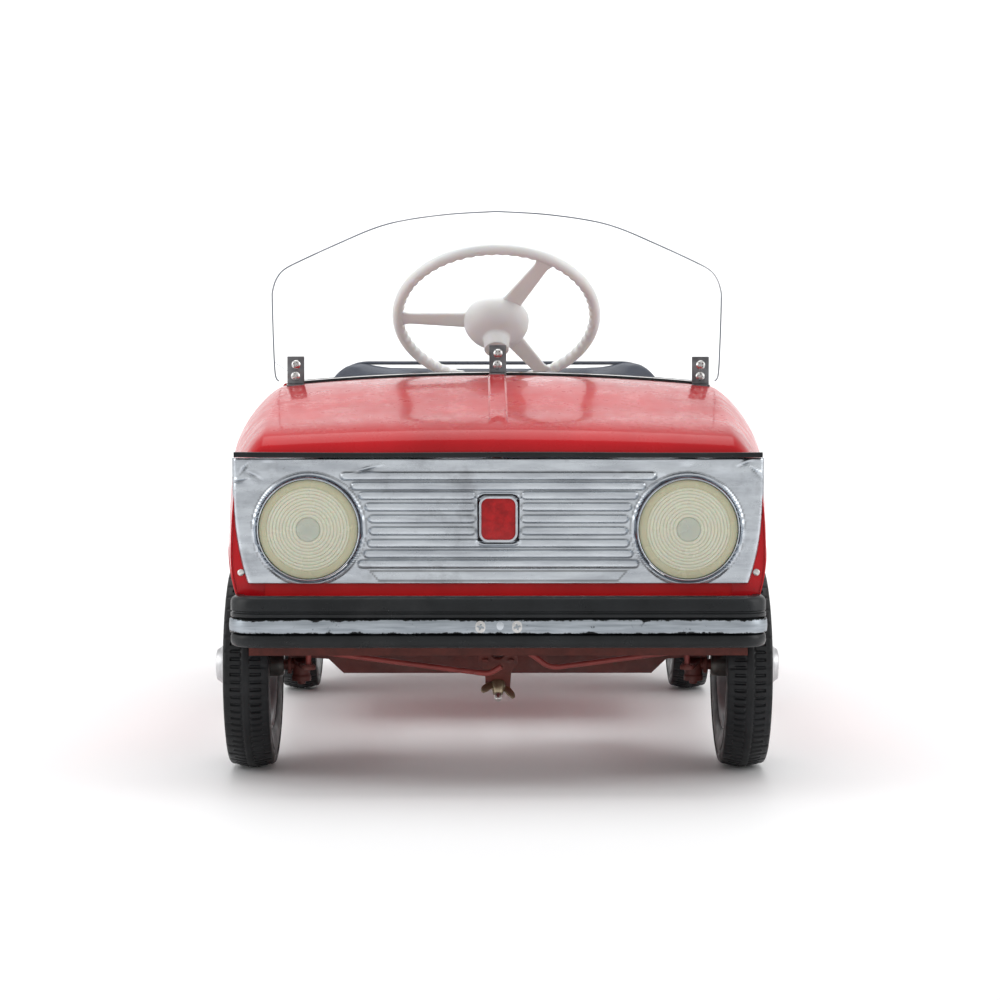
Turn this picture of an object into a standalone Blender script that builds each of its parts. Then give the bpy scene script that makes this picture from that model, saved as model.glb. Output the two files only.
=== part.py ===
"""Child's pressed-steel pedal car: painted steel body on an underframe, steered front wheels, pedal-cranked rear axle.

Metres, +Z up, the nose faces -Y, the driver's left is +X.  Wheels stand on z = 0.
"""
import math

import bmesh
import bpy
from mathutils import Matrix, Vector

# ---------------------------------------------------------------- driving dimensions (metres, degrees)
GAP = 0.0003                       # clearance between pieces that touch
LENGTH_HALF = 0.555                # bumper face to bumper face is twice this

WHEEL_R = 0.095
TYRE_W = 0.042
WHEEL_X = 0.227                    # wheel centre planes
FRONT_Y = -0.375                   # front axle line
REAR_Y = 0.265                     # rear axle line
HUBCAP_X = 0.2616                  # outer face of the hub caps
ARCH_R = 0.112
SHEET = 0.002                      # body sheet

NOSE_Y = -0.522
COWL_Y = -0.246
DECK_Y = 0.200
TAIL_Y = 0.528
CREASE_X = 0.206
BULGE_Z = 0.205

KINGPIN_X = 0.183
ARM_PIN = (0.172, -0.440)          # tie rod pin on the knuckle arm
ROD_TIE_R = 0.0025

HUB = Vector((0.0, -0.16855, 0.4248))         # steering wheel hub
COLUMN_SLOPE = 50.0                        # column axis above the horizontal
COLUMN_R = 0.006
COLUMN_L = 0.4387
WHEEL_RIM_R = 0.099
WHEEL_TUBE_R = 0.006
CRANK_ARM = 0.035                          # column crank, axis to tie rod holes

AXLE_R = 0.005
THROW = 0.035                              # rear crank throw
THROW_X = 0.062
PEDAL_Y = -0.235
PEDAL_Z = 0.275
PEDAL_X = 0.0780
PEDAL_PIN_Z = 0.098

GRILLE_TOP, GRILLE_BOTTOM = 0.2900, 0.1820
LAMP_X, LAMP_Z, LAMP_R = 0.1657, 0.2295, 0.045
SCREEN_Y = -0.2675
RAIL_X, RAIL_W = 0.149, 0.018
RAIL_Z0, RAIL_Z1 = 0.128, 0.146

c50, s50 = math.cos(math.radians(COLUMN_SLOPE)), math.sin(math.radians(COLUMN_SLOPE))
N = Vector((0.0, c50, s50))                # up the column, toward the driver
U = Vector((0.0, -s50, c50))               # up the face of the steering wheel
WHEEL_FRAME = Matrix((Vector((1, 0, 0)), -U, N)).transposed()      # columns: X, -U, N

for o in list(bpy.data.objects):
    bpy.data.objects.remove(o, do_unlink=True)
for c in list(bpy.data.collections):
    bpy.data.collections.remove(c)

KART = bpy.data.collections.new("pedal_kart")
CUT = bpy.data.collections.new("cutters")
bpy.context.scene.collection.children.link(KART)
bpy.context.scene.collection.children.link(CUT)

PAINTS = {
    "red_paint": ((0.55, 0.02, 0.02), 0.0, 0.25, 0.0),
    "bright_aluminium": ((0.78, 0.78, 0.79), 1.0, 0.35, 0.0),
    "black_rubber": ((0.02, 0.02, 0.022), 0.0, 0.6, 0.0),
    "tyre_rubber": ((0.015, 0.015, 0.016), 0.0, 0.75, 0.0),
    "primer_steel": ((0.22, 0.07, 0.05), 0.3, 0.6, 0.0),
    "grey_steel": ((0.42, 0.42, 0.43), 1.0, 0.45, 0.0),
    "clear_acrylic": ((0.9, 0.93, 0.93), 0.0, 0.05, 1.0),
    "ivory_plastic": ((0.82, 0.80, 0.74), 0.0, 0.35, 0.0),
    "lens_plastic": ((0.80, 0.74, 0.55), 0.0, 0.3, 0.0),
    "red_enamel": ((0.6, 0.02, 0.03), 0.0, 0.2, 0.0),
    "navy_vinyl": ((0.012, 0.014, 0.03), 0.0, 0.4, 0.0),
}


def finish(obj, slot, smooth=None):
    """Own material for the piece; smooth gives the sharp-edge angle for round pieces."""
    colour, metal, rough, clear = PAINTS[slot]
    m = bpy.data.materials.new(obj.name + "." + slot)
    m.use_nodes = True
    b = m.node_tree.nodes["Principled BSDF"]
    b.inputs["Base Color"].default_value = (*colour, 1.0)
    b.inputs["Metallic"].default_value = metal
    b.inputs["Roughness"].default_value = rough
    b.inputs["Transmission Weight"].default_value = clear
    m.diffuse_color = (*colour, 1.0)
    obj.data.materials.clear()
    obj.data.materials.append(m)
    if smooth is not None and obj.type == "MESH":
        obj.data.shade_smooth()
        obj.data.set_sharp_from_angle(angle=math.radians(smooth))
    return obj


def place(obj, cutter=False):
    for c in list(obj.users_collection):
        c.objects.unlink(obj)
    (CUT if cutter else KART).objects.link(obj)
    if cutter:
        obj.hide_render = True
        obj.display_type = "WIRE"
    return obj


def mesh_obj(name, verts, faces, origin=(0, 0, 0), cutter=False):
    me = bpy.data.meshes.new(name)
    o = Vector(origin)
    me.from_pydata([Vector(v) - o for v in verts], [], faces)
    me.validate()
    ob = bpy.data.objects.new(name, me)
    ob.location = o
    return place(ob, cutter)


def box(name, lo, hi, origin=None, bevel=0.0, cutter=False):
    """Axis-aligned block between two corners."""
    lo, hi = Vector(lo), Vector(hi)
    origin = (lo + hi) / 2 if origin is None else Vector(origin)
    bm = bmesh.new()
    bmesh.ops.create_cube(bm, size=1.0)
    size, mid = hi - lo, (lo + hi) / 2 - origin
    for v in bm.verts:
        v.co = Vector((v.co.x * size.x, v.co.y * size.y, v.co.z * size.z)) + mid
    me = bpy.data.meshes.new(name)
    bm.to_mesh(me)
    bm.free()
    ob = bpy.data.objects.new(name, me)
    ob.location = origin
    place(ob, cutter)
    if bevel:
        b = ob.modifiers.new("edges", "BEVEL")
        b.width, b.segments = bevel, 2
        b.limit_method = "ANGLE"
    return ob


def turned(name, profile, origin, axis, steps, cutter=False, closed=True):
    """Solid of revolution.  profile: (radius, height) pairs, down the outside first."""
    me = bpy.data.meshes.new(name)
    n = len(profile)
    edges = [(i, i + 1) for i in range(n - 1)] + ([(n - 1, 0)] if closed else [])
    me.from_pydata([(r, 0.0, h) for r, h in profile], edges, [])
    ob = bpy.data.objects.new(name, me)
    place(ob, cutter)
    ob.location = origin
    ob.rotation_euler = Vector((0, 0, 1)).rotation_difference(Vector(axis)).to_euler()
    if abs(Vector(axis).x) > 0.99:
        ob.rotation_euler = (0.0, math.copysign(math.pi / 2, Vector(axis).x), 0.0)
    s = ob.modifiers.new("turn", "SCREW")
    s.angle, s.steps, s.render_steps = 2 * math.pi, steps, steps
    s.screw_offset = 0.0
    s.use_merge_vertices, s.merge_threshold = True, 1e-5
    s.use_smooth_shade = False
    return ob


def cyl(name, r, a, b, steps=16, origin=None, cutter=False):
    """Round bar from a to b."""
    a, b = Vector(a), Vector(b)
    d = b - a
    bm = bmesh.new()
    bmesh.ops.create_cone(bm, cap_ends=True, segments=steps, radius1=r, radius2=r, depth=d.length)
    rot = Vector((0, 0, 1)).rotation_difference(d.normalized()).to_matrix().to_4x4()
    origin = (a + b) / 2 if origin is None else Vector(origin)
    bmesh.ops.transform(bm, matrix=Matrix.Translation((a + b) / 2 - origin) @ rot, verts=bm.verts)
    me = bpy.data.meshes.new(name)
    bm.to_mesh(me)
    bm.free()
    ob = bpy.data.objects.new(name, me)
    ob.location = origin
    return place(ob, cutter)


def tube(name, pts, radius, origin=(0, 0, 0), res=2, cutter=False, cyclic=False):
    cu = bpy.data.curves.new(name, "CURVE")
    cu.dimensions = "3D"
    cu.bevel_depth, cu.bevel_resolution = radius, res
    cu.use_fill_caps = not cyclic
    sp = cu.splines.new("POLY")
    sp.points.add(len(pts) - 1)
    o = Vector(origin)
    for p, q in zip(sp.points, pts):
        p.co = (*(Vector(q) - o), 1.0)
    sp.use_cyclic_u = cyclic
    ob = bpy.data.objects.new(name, cu)
    ob.location = o
    return place(ob, cutter)


def outline(name, pts, depth, matrix, origin, cutter=False, as_mesh=False):
    """Flat outline in its own XY plane, thickened by depth about that plane, then set by matrix (3x3) and origin."""
    cu = bpy.data.curves.new(name, "CURVE")
    cu.dimensions, cu.fill_mode, cu.extrude = "2D", "BOTH", depth / 2
    sp = cu.splines.new("POLY")
    sp.points.add(len(pts) - 1)
    for p, q in zip(sp.points, pts):
        p.co = (q[0], q[1], 0.0, 1.0)
    sp.use_cyclic_u = True
    ob = bpy.data.objects.new(name, cu)
    place(ob, cutter)
    ob.matrix_world = Matrix.Translation(origin) @ matrix.to_4x4()
    return to_mesh(ob, cutter) if as_mesh or cutter else ob


def to_mesh(ob, cutter=False):
    """Curve object to a welded mesh object of the same name, placed the same."""
    bpy.context.view_layer.update()
    ev = ob.evaluated_get(bpy.context.evaluated_depsgraph_get())
    me = bpy.data.meshes.new_from_object(ev)
    name, mw = ob.name, ob.matrix_world.copy()
    bpy.data.objects.remove(ob, do_unlink=True)
    bm = bmesh.new()
    bm.from_mesh(me)
    bmesh.ops.remove_doubles(bm, verts=bm.verts, dist=1e-6)
    bmesh.ops.recalc_face_normals(bm, faces=bm.faces)
    bm.to_mesh(me)
    bm.free()
    new = bpy.data.objects.new(name, me)
    new.matrix_world = mw
    return place(new, cutter)


def cut(ob, cutter, op="DIFFERENCE"):
    b = ob.modifiers.new(cutter.name, "BOOLEAN")
    b.operation, b.solver, b.object = op, "EXACT", cutter
    return ob


def solidify(ob, t, offset=-1.0):
    s = ob.modifiers.new("sheet", "SOLIDIFY")
    s.thickness, s.offset = t, offset
    s.use_even_offset = True
    return ob


def arc(cx, cy, r, a0, a1, n):
    return [(cx + r * math.cos(math.radians(a0 + (a1 - a0) * i / n)),
             cy + r * math.sin(math.radians(a0 + (a1 - a0) * i / n))) for i in range(n + 1)]


def rounded_rect(w, h, r, n=4):
    pts = []
    for cx, cy, a in ((w / 2 - r, h / 2 - r, 0), (-w / 2 + r, h / 2 - r, 90),
                      (-w / 2 + r, -h / 2 + r, 180), (w / 2 - r, -h / 2 + r, 270)):
        pts += arc(cx, cy, r, a, a + 90, n)
    return pts


def rounded_path(pts, r, n=3):
    """3D polyline with its inner corners rounded by radius r."""
    pts = [Vector(p) for p in pts]
    out = [pts[0]]
    for a, b, c in zip(pts, pts[1:], pts[2:]):
        u, v = (a - b).normalized(), (c - b).normalized()
        half = u.angle(v) / 2
        d = min(r / math.tan(half), 0.45 * (a - b).length, 0.45 * (c - b).length)
        rr = d * math.tan(half)
        centre = b + (u + v).normalized() * (rr / math.sin(half))
        p, q = b + u * d - centre, b + v * d - centre
        for i in range(n + 1):
            out.append(centre + Matrix.Rotation(p.angle(q) * i / n, 3, p.cross(q).normalized()) @ p)
    out.append(pts[-1])
    return out


# ---------------------------------------------------------------- body surface: one section per station y
def smooth_through(xs, ys, x):
    """Monotone cubic through the knots."""
    if x <= xs[0]:
        return ys[0]
    if x >= xs[-1]:
        return ys[-1]
    n = len(xs)
    d = [(ys[i + 1] - ys[i]) / (xs[i + 1] - xs[i]) for i in range(n - 1)]
    m = [d[0]] + [0.0 if d[i - 1] * d[i] <= 0 else 2 * d[i - 1] * d[i] / (d[i - 1] + d[i]) for i in range(1, n - 1)] + [d[-1]]
    i = max(k for k in range(n - 1) if xs[k] <= x)
    h = xs[i + 1] - xs[i]
    t = (x - xs[i]) / h
    return ((2 * t ** 3 - 3 * t ** 2 + 1) * ys[i] + (t ** 3 - 2 * t ** 2 + t) * h * m[i]
            + (-2 * t ** 3 + 3 * t ** 2) * ys[i + 1] + (t ** 3 - t ** 2) * h * m[i + 1])


CENTRE = ((-0.522, 0.294), (-0.517, 0.307), (-0.500, 0.3175), (-0.450, 0.3300), (-0.250, 0.3655), (0.200, 0.3620),
          (0.350, 0.3570), (0.450, 0.3440), (0.510, 0.3220), (0.528, 0.3020))
CREASE = ((-0.522, 0.291), (-0.517, 0.302), (-0.500, 0.3120), (-0.450, 0.3235), (-0.250, 0.3555), (-0.100, 0.3200),
          (0.060, 0.3140), (0.200, 0.3500), (0.350, 0.3470), (0.450, 0.3350), (0.510, 0.3140), (0.528, 0.2960))
SHOULDER = ((-0.522, 0.2700), (-0.450, 0.2820), (-0.250, 0.2970), (-0.100, 0.2860), (0.060, 0.2830), (0.200, 0.2930),
            (0.450, 0.2800), (0.528, 0.2620))
WIDTH = ((-0.522, 0.2300), (-0.500, 0.2320), (-0.450, 0.2380), (-0.375, 0.2450), (-0.250, 0.2517), (0.000, 0.2535),
         (0.200, 0.2520), (0.350, 0.2470), (0.450, 0.2390), (0.528, 0.2250))
BULGE = 0.0045
TUCK = 0.010


def knot(table, y):
    return smooth_through([k[0] for k in table], [k[1] for k in table], y)


def sill(y):
    if y < FRONT_Y:
        return 0.157
    if y > REAR_Y:
        return 0.160
    return 0.115


def top_point(y, x):
    zc, zk = knot(CENTRE, y), knot(CREASE, y)
    return (x, y, zc - (zc - zk) * (x / CREASE_X) ** 2)


def side_point(y, v, side):
    """v 0..1 round the shoulder, 1..2 down the side to the sill."""
    zk, zs, w = knot(CREASE, y), knot(SHOULDER, y), knot(WIDTH, y)
    if v <= 1.0:
        t = 0.12 + (math.pi / 2 - 0.12) * v
        p = 2 / 1.4
        return (side * (CREASE_X + (w - CREASE_X) * math.sin(t) ** p), y, zs + (zk - zs) * max(math.cos(t), 0.0) ** p)
    zb = sill(y)
    z = zs + (zb - zs) * (v - 1.0)
    k = BULGE / (zs - BULGE_Z) ** 2 if z > BULGE_Z else TUCK / (BULGE_Z - zb) ** 2
    return (side * (w + BULGE - k * (z - BULGE_Z) ** 2), y, z)


def grid(name, rows, origin=(0, 0, 0), flip=False):
    """Loft through equal-length rows of points."""
    n = len(rows[0])
    verts = [p for r in rows for p in r]
    faces = []
    for i in range(len(rows) - 1):
        for j in range(n - 1):
            q = (i * n + j, i * n + j + 1, (i + 1) * n + j + 1, (i + 1) * n + j)
            faces.append(q[::-1] if flip else q)
    return mesh_obj(name, verts, faces, origin)


def steps(a, b, n):
    return [a + (b - a) * i / n for i in range(n + 1)]


# hood: crowned top from the nose to the cowl, between the two side creases
HOOD_X = [CREASE_X * t for t in (-1, -0.8, -0.55, -0.28, 0, 0.28, 0.55, 0.8, 1)]
hood_rows = [[top_point(y, x) for x in HOOD_X] for y in [NOSE_Y, -0.5195, -0.515, -0.507, -0.497] + steps(-0.46, COWL_Y, 4)]
hood = solidify(grid("hood_panel", hood_rows), SHEET)
finish(hood, "red_paint", 40)

# sides with the wheel openings
stations = [NOSE_Y, -0.5195, -0.515, -0.507, -0.495, -0.470, -0.430, FRONT_Y - 0.0005, FRONT_Y + 0.0005, -0.310, -0.250, -0.180, -0.100,
            -0.020, 0.060, 0.130, 0.200, REAR_Y - 0.0005, REAR_Y + 0.0005, 0.340, 0.400, 0.450, 0.490, 0.510, TAIL_Y - 0.0040]
for side, name in ((1, "body_side_left"), (-1, "body_side_right")):
    rows = [[side_point(y, v, side) for v in (0, 0.33, 0.66, 1.0, 1.22, 1.45, 1.7, 2.0)] for y in stations]
    panel = solidify(grid(name, rows, flip=side < 0), SHEET)
    for y, end in ((FRONT_Y, "front"), (REAR_Y, "rear")):
        c = cyl(f"arch_{end}_{name[10:]}", ARCH_R, (side * 0.205, y, WHEEL_R), (side * 0.275, y, WHEEL_R), 32, cutter=True)
        cut(panel, c)
    finish(panel, "red_paint", 40)

# rear deck and tail panel, one pressing
deck_rows = [[top_point(y, x * 0.98) for x in HOOD_X] for y in (DECK_Y, 0.275, 0.350, 0.410, 0.460, 0.495, 0.515, TAIL_Y - 0.001)]
for y, z in ((0.5335, 0.2860), (0.5375, 0.2650), (0.5390, 0.2200), (0.5370, 0.1750)):
    deck_rows.append([(x * (0.2195 / CREASE_X), y - 0.004 * (x / CREASE_X) ** 2, z) for x in HOOD_X])
finish(solidify(grid("rear_deck", deck_rows), SHEET), "red_paint", 40)

# valance under the grille, with a bent lower flange
XZY = Matrix(((0, 0, 1), (1, 0, 0), (0, 1, 0)))            # outline X -> world Y, outline Y -> world Z, thickness along X
valance = outline("front_valance", [(-0.5200, 0.1815), (-0.5200, 0.1180), (-0.5030, 0.1180), (-0.5030, 0.1200),
                                    (-0.5180, 0.1200), (-0.5180, 0.1815)], 2 * 0.2190, XZY, (0, 0, 0))
finish(valance, "red_paint")

# dashboard plate below the cowl, column passes through it
top_z = [(x, top_point(COWL_Y, x)[2] - SHEET - 0.0006) for x in steps(0.196, -0.196, 8)]
XY_FRONT = Matrix(((1, 0, 0), (0, 0, -1), (0, 1, 0)))      # outline X -> world X, outline Y -> world Z, thickness along Y
dash = outline("dashboard", top_z + [(-0.196, 0.318), (-0.186, 0.308), (0.186, 0.308), (0.196, 0.318)], 0.0025, XY_FRONT,
               (0, -0.2490, 0), as_mesh=True)
column_hole = cyl("column_hole", 0.0100, HUB - N * 0.067, HUB - N * 0.157, 20, cutter=True)
cut(dash, column_hole)
finish(dash, "red_paint")

# ---------------------------------------------------------------- underframe
for side, tag in ((1, "left"), (-1, "right")):
    x0, x1 = sorted((side * (RAIL_X - RAIL_W / 2), side * (RAIL_X + RAIL_W / 2)))
    finish(box(f"frame_rail_{tag}", (x0, -0.5177, RAIL_Z0), (x1, 0.5300, RAIL_Z1)), "primer_steel")
    hanger = box(f"axle_hanger_{tag}", (side * RAIL_X - 0.004, REAR_Y - 0.014, 0.080), (side * RAIL_X + 0.004, REAR_Y + 0.014, RAIL_Z0 - GAP))
    cut(hanger, cyl(f"axle_hole_{tag}", AXLE_R + GAP, (side * RAIL_X - 0.01, REAR_Y, WHEEL_R), (side * RAIL_X + 0.01, REAR_Y, WHEEL_R), 20, cutter=True))
    finish(hanger, "primer_steel")

beam_half = [(0.143, 0.088), (0.157, 0.1012), (0.170, 0.1022), (0.194, 0.1024), (0.194, 0.1250), (0.172, 0.1252), (0.160, RAIL_Z0 - GAP)]
beam_pts = [(-x, z) for x, z in beam_half] + beam_half[::-1]
beam = outline("front_cross_member", [(p[0], p[1]) for p in beam_pts], 0.022, XY_FRONT, (0, FRONT_Y, 0), as_mesh=True)
for side, tag in ((1, "left"), (-1, "right")):
    cut(beam, cyl(f"kingpin_hole_{tag}", 0.0040 + GAP, (side * KINGPIN_X, FRONT_Y, 0.09), (side * KINGPIN_X, FRONT_Y, 0.14), 16, cutter=True))
    cut(beam, cyl(f"beam_hole_{tag}", 0.0045, (side * 0.030, FRONT_Y - 0.02, 0.1105), (side * 0.030, FRONT_Y + 0.02, 0.1105), 16, cutter=True))
finish(beam, "primer_steel")

bracket = box("column_bracket", (-0.021, -0.4460, 0.1170), (0.021, FRONT_Y - 0.011 - GAP, 0.1200))
cut(bracket, cyl("column_bush", COLUMN_R + 0.0006, HUB - N * 0.3567, HUB - N * 0.4367, 20, cutter=True))
finish(bracket, "primer_steel")

# ---------------------------------------------------------------- front trim
def grille_half(z):
    t = (z - GRILLE_BOTTOM) / (GRILLE_TOP - GRILLE_BOTTOM)
    return 0.2205 + 0.0125 * (1 - (1 - t) ** 3)


grille = outline("grille", [(-grille_half(GRILLE_BOTTOM), GRILLE_BOTTOM), (grille_half(GRILLE_BOTTOM), GRILLE_BOTTOM),
                            *((grille_half(z), z) for z in (0.192, 0.203, 0.218, 0.240, 0.284)), (grille_half(0.284) - 0.004, GRILLE_TOP),
                            (-grille_half(0.284) + 0.004, GRILLE_TOP), *((-grille_half(z), z) for z in (0.284, 0.240, 0.218, 0.203, 0.192))], 0.0035, XY_FRONT,
                 (0, -0.52425, 0), as_mesh=True)
for side, tag in ((1, "left"), (-1, "right")):
    cut(grille, cyl(f"lamp_hole_{tag}", LAMP_R + GAP, (side * LAMP_X, -0.54, LAMP_Z), (side * LAMP_X, -0.51, LAMP_Z), 36, cutter=True))
finish(grille, "bright_aluminium")

for side, tag in ((1, "left"), (-1, "right")):
    housing = turned(f"headlight_housing_{tag}", [(0.0, -0.0215), (0.0372, -0.0182), (0.0437, -0.0060), (0.0437, 0.0078), (0.0442, 0.0080),
                                                 (0.0450, 0.0070), (0.0450, -0.0060), (0.0390, -0.0202), (0.0, -0.0240)],
                     (side * LAMP_X, -0.5260, LAMP_Z), (0, -1, 0), 32, closed=False)
    finish(housing, "bright_aluminium", 35)
    lens = turned(f"headlight_lens_{tag}", [(0.0, 0.0105), (0.0200, 0.0100), (0.0380, 0.0085), (0.0434, 0.0062), (0.0434, 0.0030), (0.0, 0.0050)],
                  (side * LAMP_X, -0.5260, LAMP_Z), (0, -1, 0), 32, closed=False)
    finish(lens, "lens_plastic", 35)

badge = outline("badge", rounded_rect(0.033, 0.039, 0.008), 0.0026, XY_FRONT, (0, -0.5276, 0.2382), as_mesh=True)
finish(badge, "red_enamel")

moulding = box("hood_moulding", (-0.2310, -0.5285, GRILLE_TOP + GAP), (0.2310, NOSE_Y - GAP - 0.0002, 0.2958), bevel=0.0012)
finish(moulding, "black_rubber")


def band(hw, yf, t, yb, r, n=5):
    """Plan outline of a strip lying across an end of the car and wrapping round both corners; yf may be front or rear."""
    s = -1 if yf < 0 else 1

    def path(hw, yf, r):
        left = [(-hw, yb)] + [(-hw + r - r * math.cos(a), yf - s * (r - r * math.sin(a))) for a in steps(0, math.pi / 2, n)]
        return left + [(-x, y) for x, y in left[::-1]]
    return path(hw, yf, r) + path(hw - t, yf - s * t, max(r - t, 0.001))[::-1]


FLAT = Matrix.Identity(3)
for end, yf, yb, s, cr in (("front", -0.5535, -0.5237, -1, 0.026), ("rear", 0.5535, 0.5300, 1, 0.021)):
    rubber = outline(f"{end}_bumper_rubber", band(0.2340, yf, 0.0130, yb, cr), 0.045, FLAT, (0, 0, 0.1500), as_mesh=True)
    groove = outline(f"{end}_bumper_groove", band(0.2420, yf + s * 0.008, 0.0128, yb - s * 0.004, cr + 0.008), 0.0135, FLAT, (0, 0, 0.1463), cutter=True)
    cut(rubber, groove)
    finish(rubber, "black_rubber")
    strip = outline(f"{end}_bumper_strip", band(0.2355, yf + s * 0.0015, 0.0060, yb, cr + 0.0015), 0.0129, FLAT, (0, 0, 0.1463), as_mesh=True)
    finish(strip, "bright_aluminium")

# ---------------------------------------------------------------- windscreen
def screen_edge(x):
    """Upper edge height of the screen over half width x."""
    return 0.5245 - 0.012 * (x / 0.11) ** 2 * 0.72 - 0.022 * max(0.0, (x - 0.11) / 0.083) ** 1.4 if x > 0.03 else 0.5245 - 0.0006 * (x / 0.03) ** 2


right_edge = [(0.2155, 0.3590), (0.2185, 0.3650), (0.2180, 0.4400), (0.2165, 0.4530), (0.2130, 0.4620), (0.2050, 0.4700)]
top_edge = [(x, screen_edge(x)) for x in (0.1930, 0.1650, 0.1380, 0.1090, 0.0800, 0.0500, 0.0200)]
half = right_edge + top_edge
screen_pts = half + [(-x, z) for x, z in half[::-1]] + [(-x, 0.3590 + 0.0078 * (1 - (x / 0.2155) ** 2)) for x in steps(0.18, -0.18, 6)]
screen = outline("windscreen", screen_pts, 0.003, XY_FRONT, (0, SCREEN_Y, 0))
finish(screen, "clear_acrylic")

for tag, x in (("left", 0.1965), ("centre", 0.0), ("right", -0.1965)):
    zf = top_point(-0.275, x)[2] + 0.0009
    yb = SCREEN_Y - 0.0015 - GAP
    lz = 0.0275
    foot = outline(f"screen_bracket_{tag}", [(yb, zf), (yb, zf + lz), (yb - 0.0018, zf + lz), (yb - 0.0018, zf + 0.0018),
                                             (yb - 0.0130, zf + 0.0006), (yb - 0.0130, zf - 0.0010), (yb - 0.002, zf)], 0.0165, XZY, (x, 0, 0))
    finish(foot, "grey_steel")

trim_pts = [(x, COWL_Y + 0.0049, top_point(COWL_Y, x)[2] - 0.0002) for x in steps(-0.198, 0.198, 14)]
finish(tube("cowl_trim", trim_pts, 0.0041), "black_rubber")

# ---------------------------------------------------------------- seat
seat_prof = [(-0.040, 0.1463), (0.150, 0.1463), (0.1850, 0.3560), (0.1826, 0.3566), (0.1480, 0.1487), (-0.0376, 0.1487), (-0.0376, 0.1620),
             (-0.0400, 0.1620)]
finish(outline("seat_base", seat_prof, 0.300, XZY, (0, 0, 0)), "red_paint")
cushion = box("seat_cushion", (-0.155, -0.036, 0.1490), (0.155, 0.112, 0.1930), bevel=0.012)
finish(cushion, "navy_vinyl", 60)
back = outline("seat_backrest", rounded_rect(0.380, 0.196, 0.045, 5), 0.030, XY_FRONT, (0, 0, 0), as_mesh=True)
tilt = math.radians(9.55)
back.matrix_world = Matrix.Translation((0, 0.1440, 0.2860)) @ Matrix.Rotation(-tilt, 4, "X") @ XY_FRONT.to_4x4()
bev = back.modifiers.new("edges", "BEVEL")
bev.width, bev.segments, bev.limit_method, bev.angle_limit = 0.009, 2, "ANGLE", math.radians(50)
finish(back, "navy_vinyl", 60)

# ---------------------------------------------------------------- steering
WF = WHEEL_FRAME.to_4x4()
bpy.ops.mesh.primitive_torus_add(major_radius=WHEEL_RIM_R, minor_radius=WHEEL_TUBE_R, major_segments=36, minor_segments=8)
rim = bpy.context.object
rim.name = rim.data.name = "steering_wheel"
place(rim)
rim.matrix_world = Matrix.Translation(HUB) @ WF
boss = turned("wheel_boss", [(0.0, 0.0130), (0.0120, 0.0120), (0.0230, 0.0080), (0.0310, 0.0010), (0.0330, -0.0050), (0.0315, -0.0130), (0.0260, -0.0220),
                             (0.0175, -0.0285), (0.0135, -0.0300), (0.0125, -0.0440), (0.0, -0.0440)], HUB, N, 24, cutter=True, closed=False)
for i, a in enumerate((180, -60, 60)):
    sp = outline(f"spoke_{i}", [(0.018, -0.0125), (0.0985, -0.0075), (0.0985, 0.0075), (0.018, 0.0125)], 0.0070, Matrix.Identity(3), (0, 0, 0), cutter=True)
    sp.matrix_world = Matrix.Translation(HUB) @ WF @ Matrix.Rotation(math.radians(a), 4, "Z") @ Matrix.Translation((0, 0, -0.003))
    cut(rim, sp, "UNION")
cut(rim, boss, "UNION")
bore = cyl("column_socket", COLUMN_R + GAP, HUB - N * 0.012, HUB - N * 0.050, 16, cutter=True)
cut(rim, bore)
finish(rim, "ivory_plastic", 40)

column = cyl("steering_column", COLUMN_R, HUB - N * 0.0123, HUB - N * COLUMN_L, 16, origin=HUB)
finish(column, "grey_steel", 40)

crank_pts = [(-0.0110, 0.0090), (-0.0070, 0.0118), (0.0070, 0.0118), (0.0110, 0.0090), (0.0120, -0.020), (0.0175, -0.0300), (0.0175, -0.0440),
             (0.0050, -0.0440), (0.0030, -0.0370), (-0.0030, -0.0370), (-0.0050, -0.0440), (-0.0175, -0.0440), (-0.0175, -0.0300), (-0.0120, -0.020)]
crank = outline("steering_crank", crank_pts, 0.0030, Matrix.Identity(3), (0, 0, 0), as_mesh=True)
crank.matrix_world = Matrix.Translation(HUB - N * (COLUMN_L + 0.0018)) @ WF
finish(crank, "primer_steel")

nut_at = HUB - N * (COLUMN_L + 0.0018 + 0.0015 + GAP)
nut = turned("wing_nut", [(0.0, 0.0), (0.0062, 0.0), (0.0062, -0.0060), (0.0040, -0.0110), (0.0, -0.0120)], nut_at, N, 16, closed=False)
for s in (-1, 1):
    w = outline(f"nut_wing_{s + 1}", [(s * 0.003, -0.001), (s * 0.0060, -0.0050), (s * 0.0150, -0.0120), (s * 0.0165, -0.0080), (s * 0.0110, -0.0010)],
                0.0024, Matrix.Identity(3), (0, 0, 0), cutter=True)
    w.matrix_world = Matrix.Translation(nut_at) @ WF @ Matrix.Rotation(math.radians(90), 4, "X")
    cut(nut, w, "UNION")
finish(nut, "grey_steel", 40)

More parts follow.
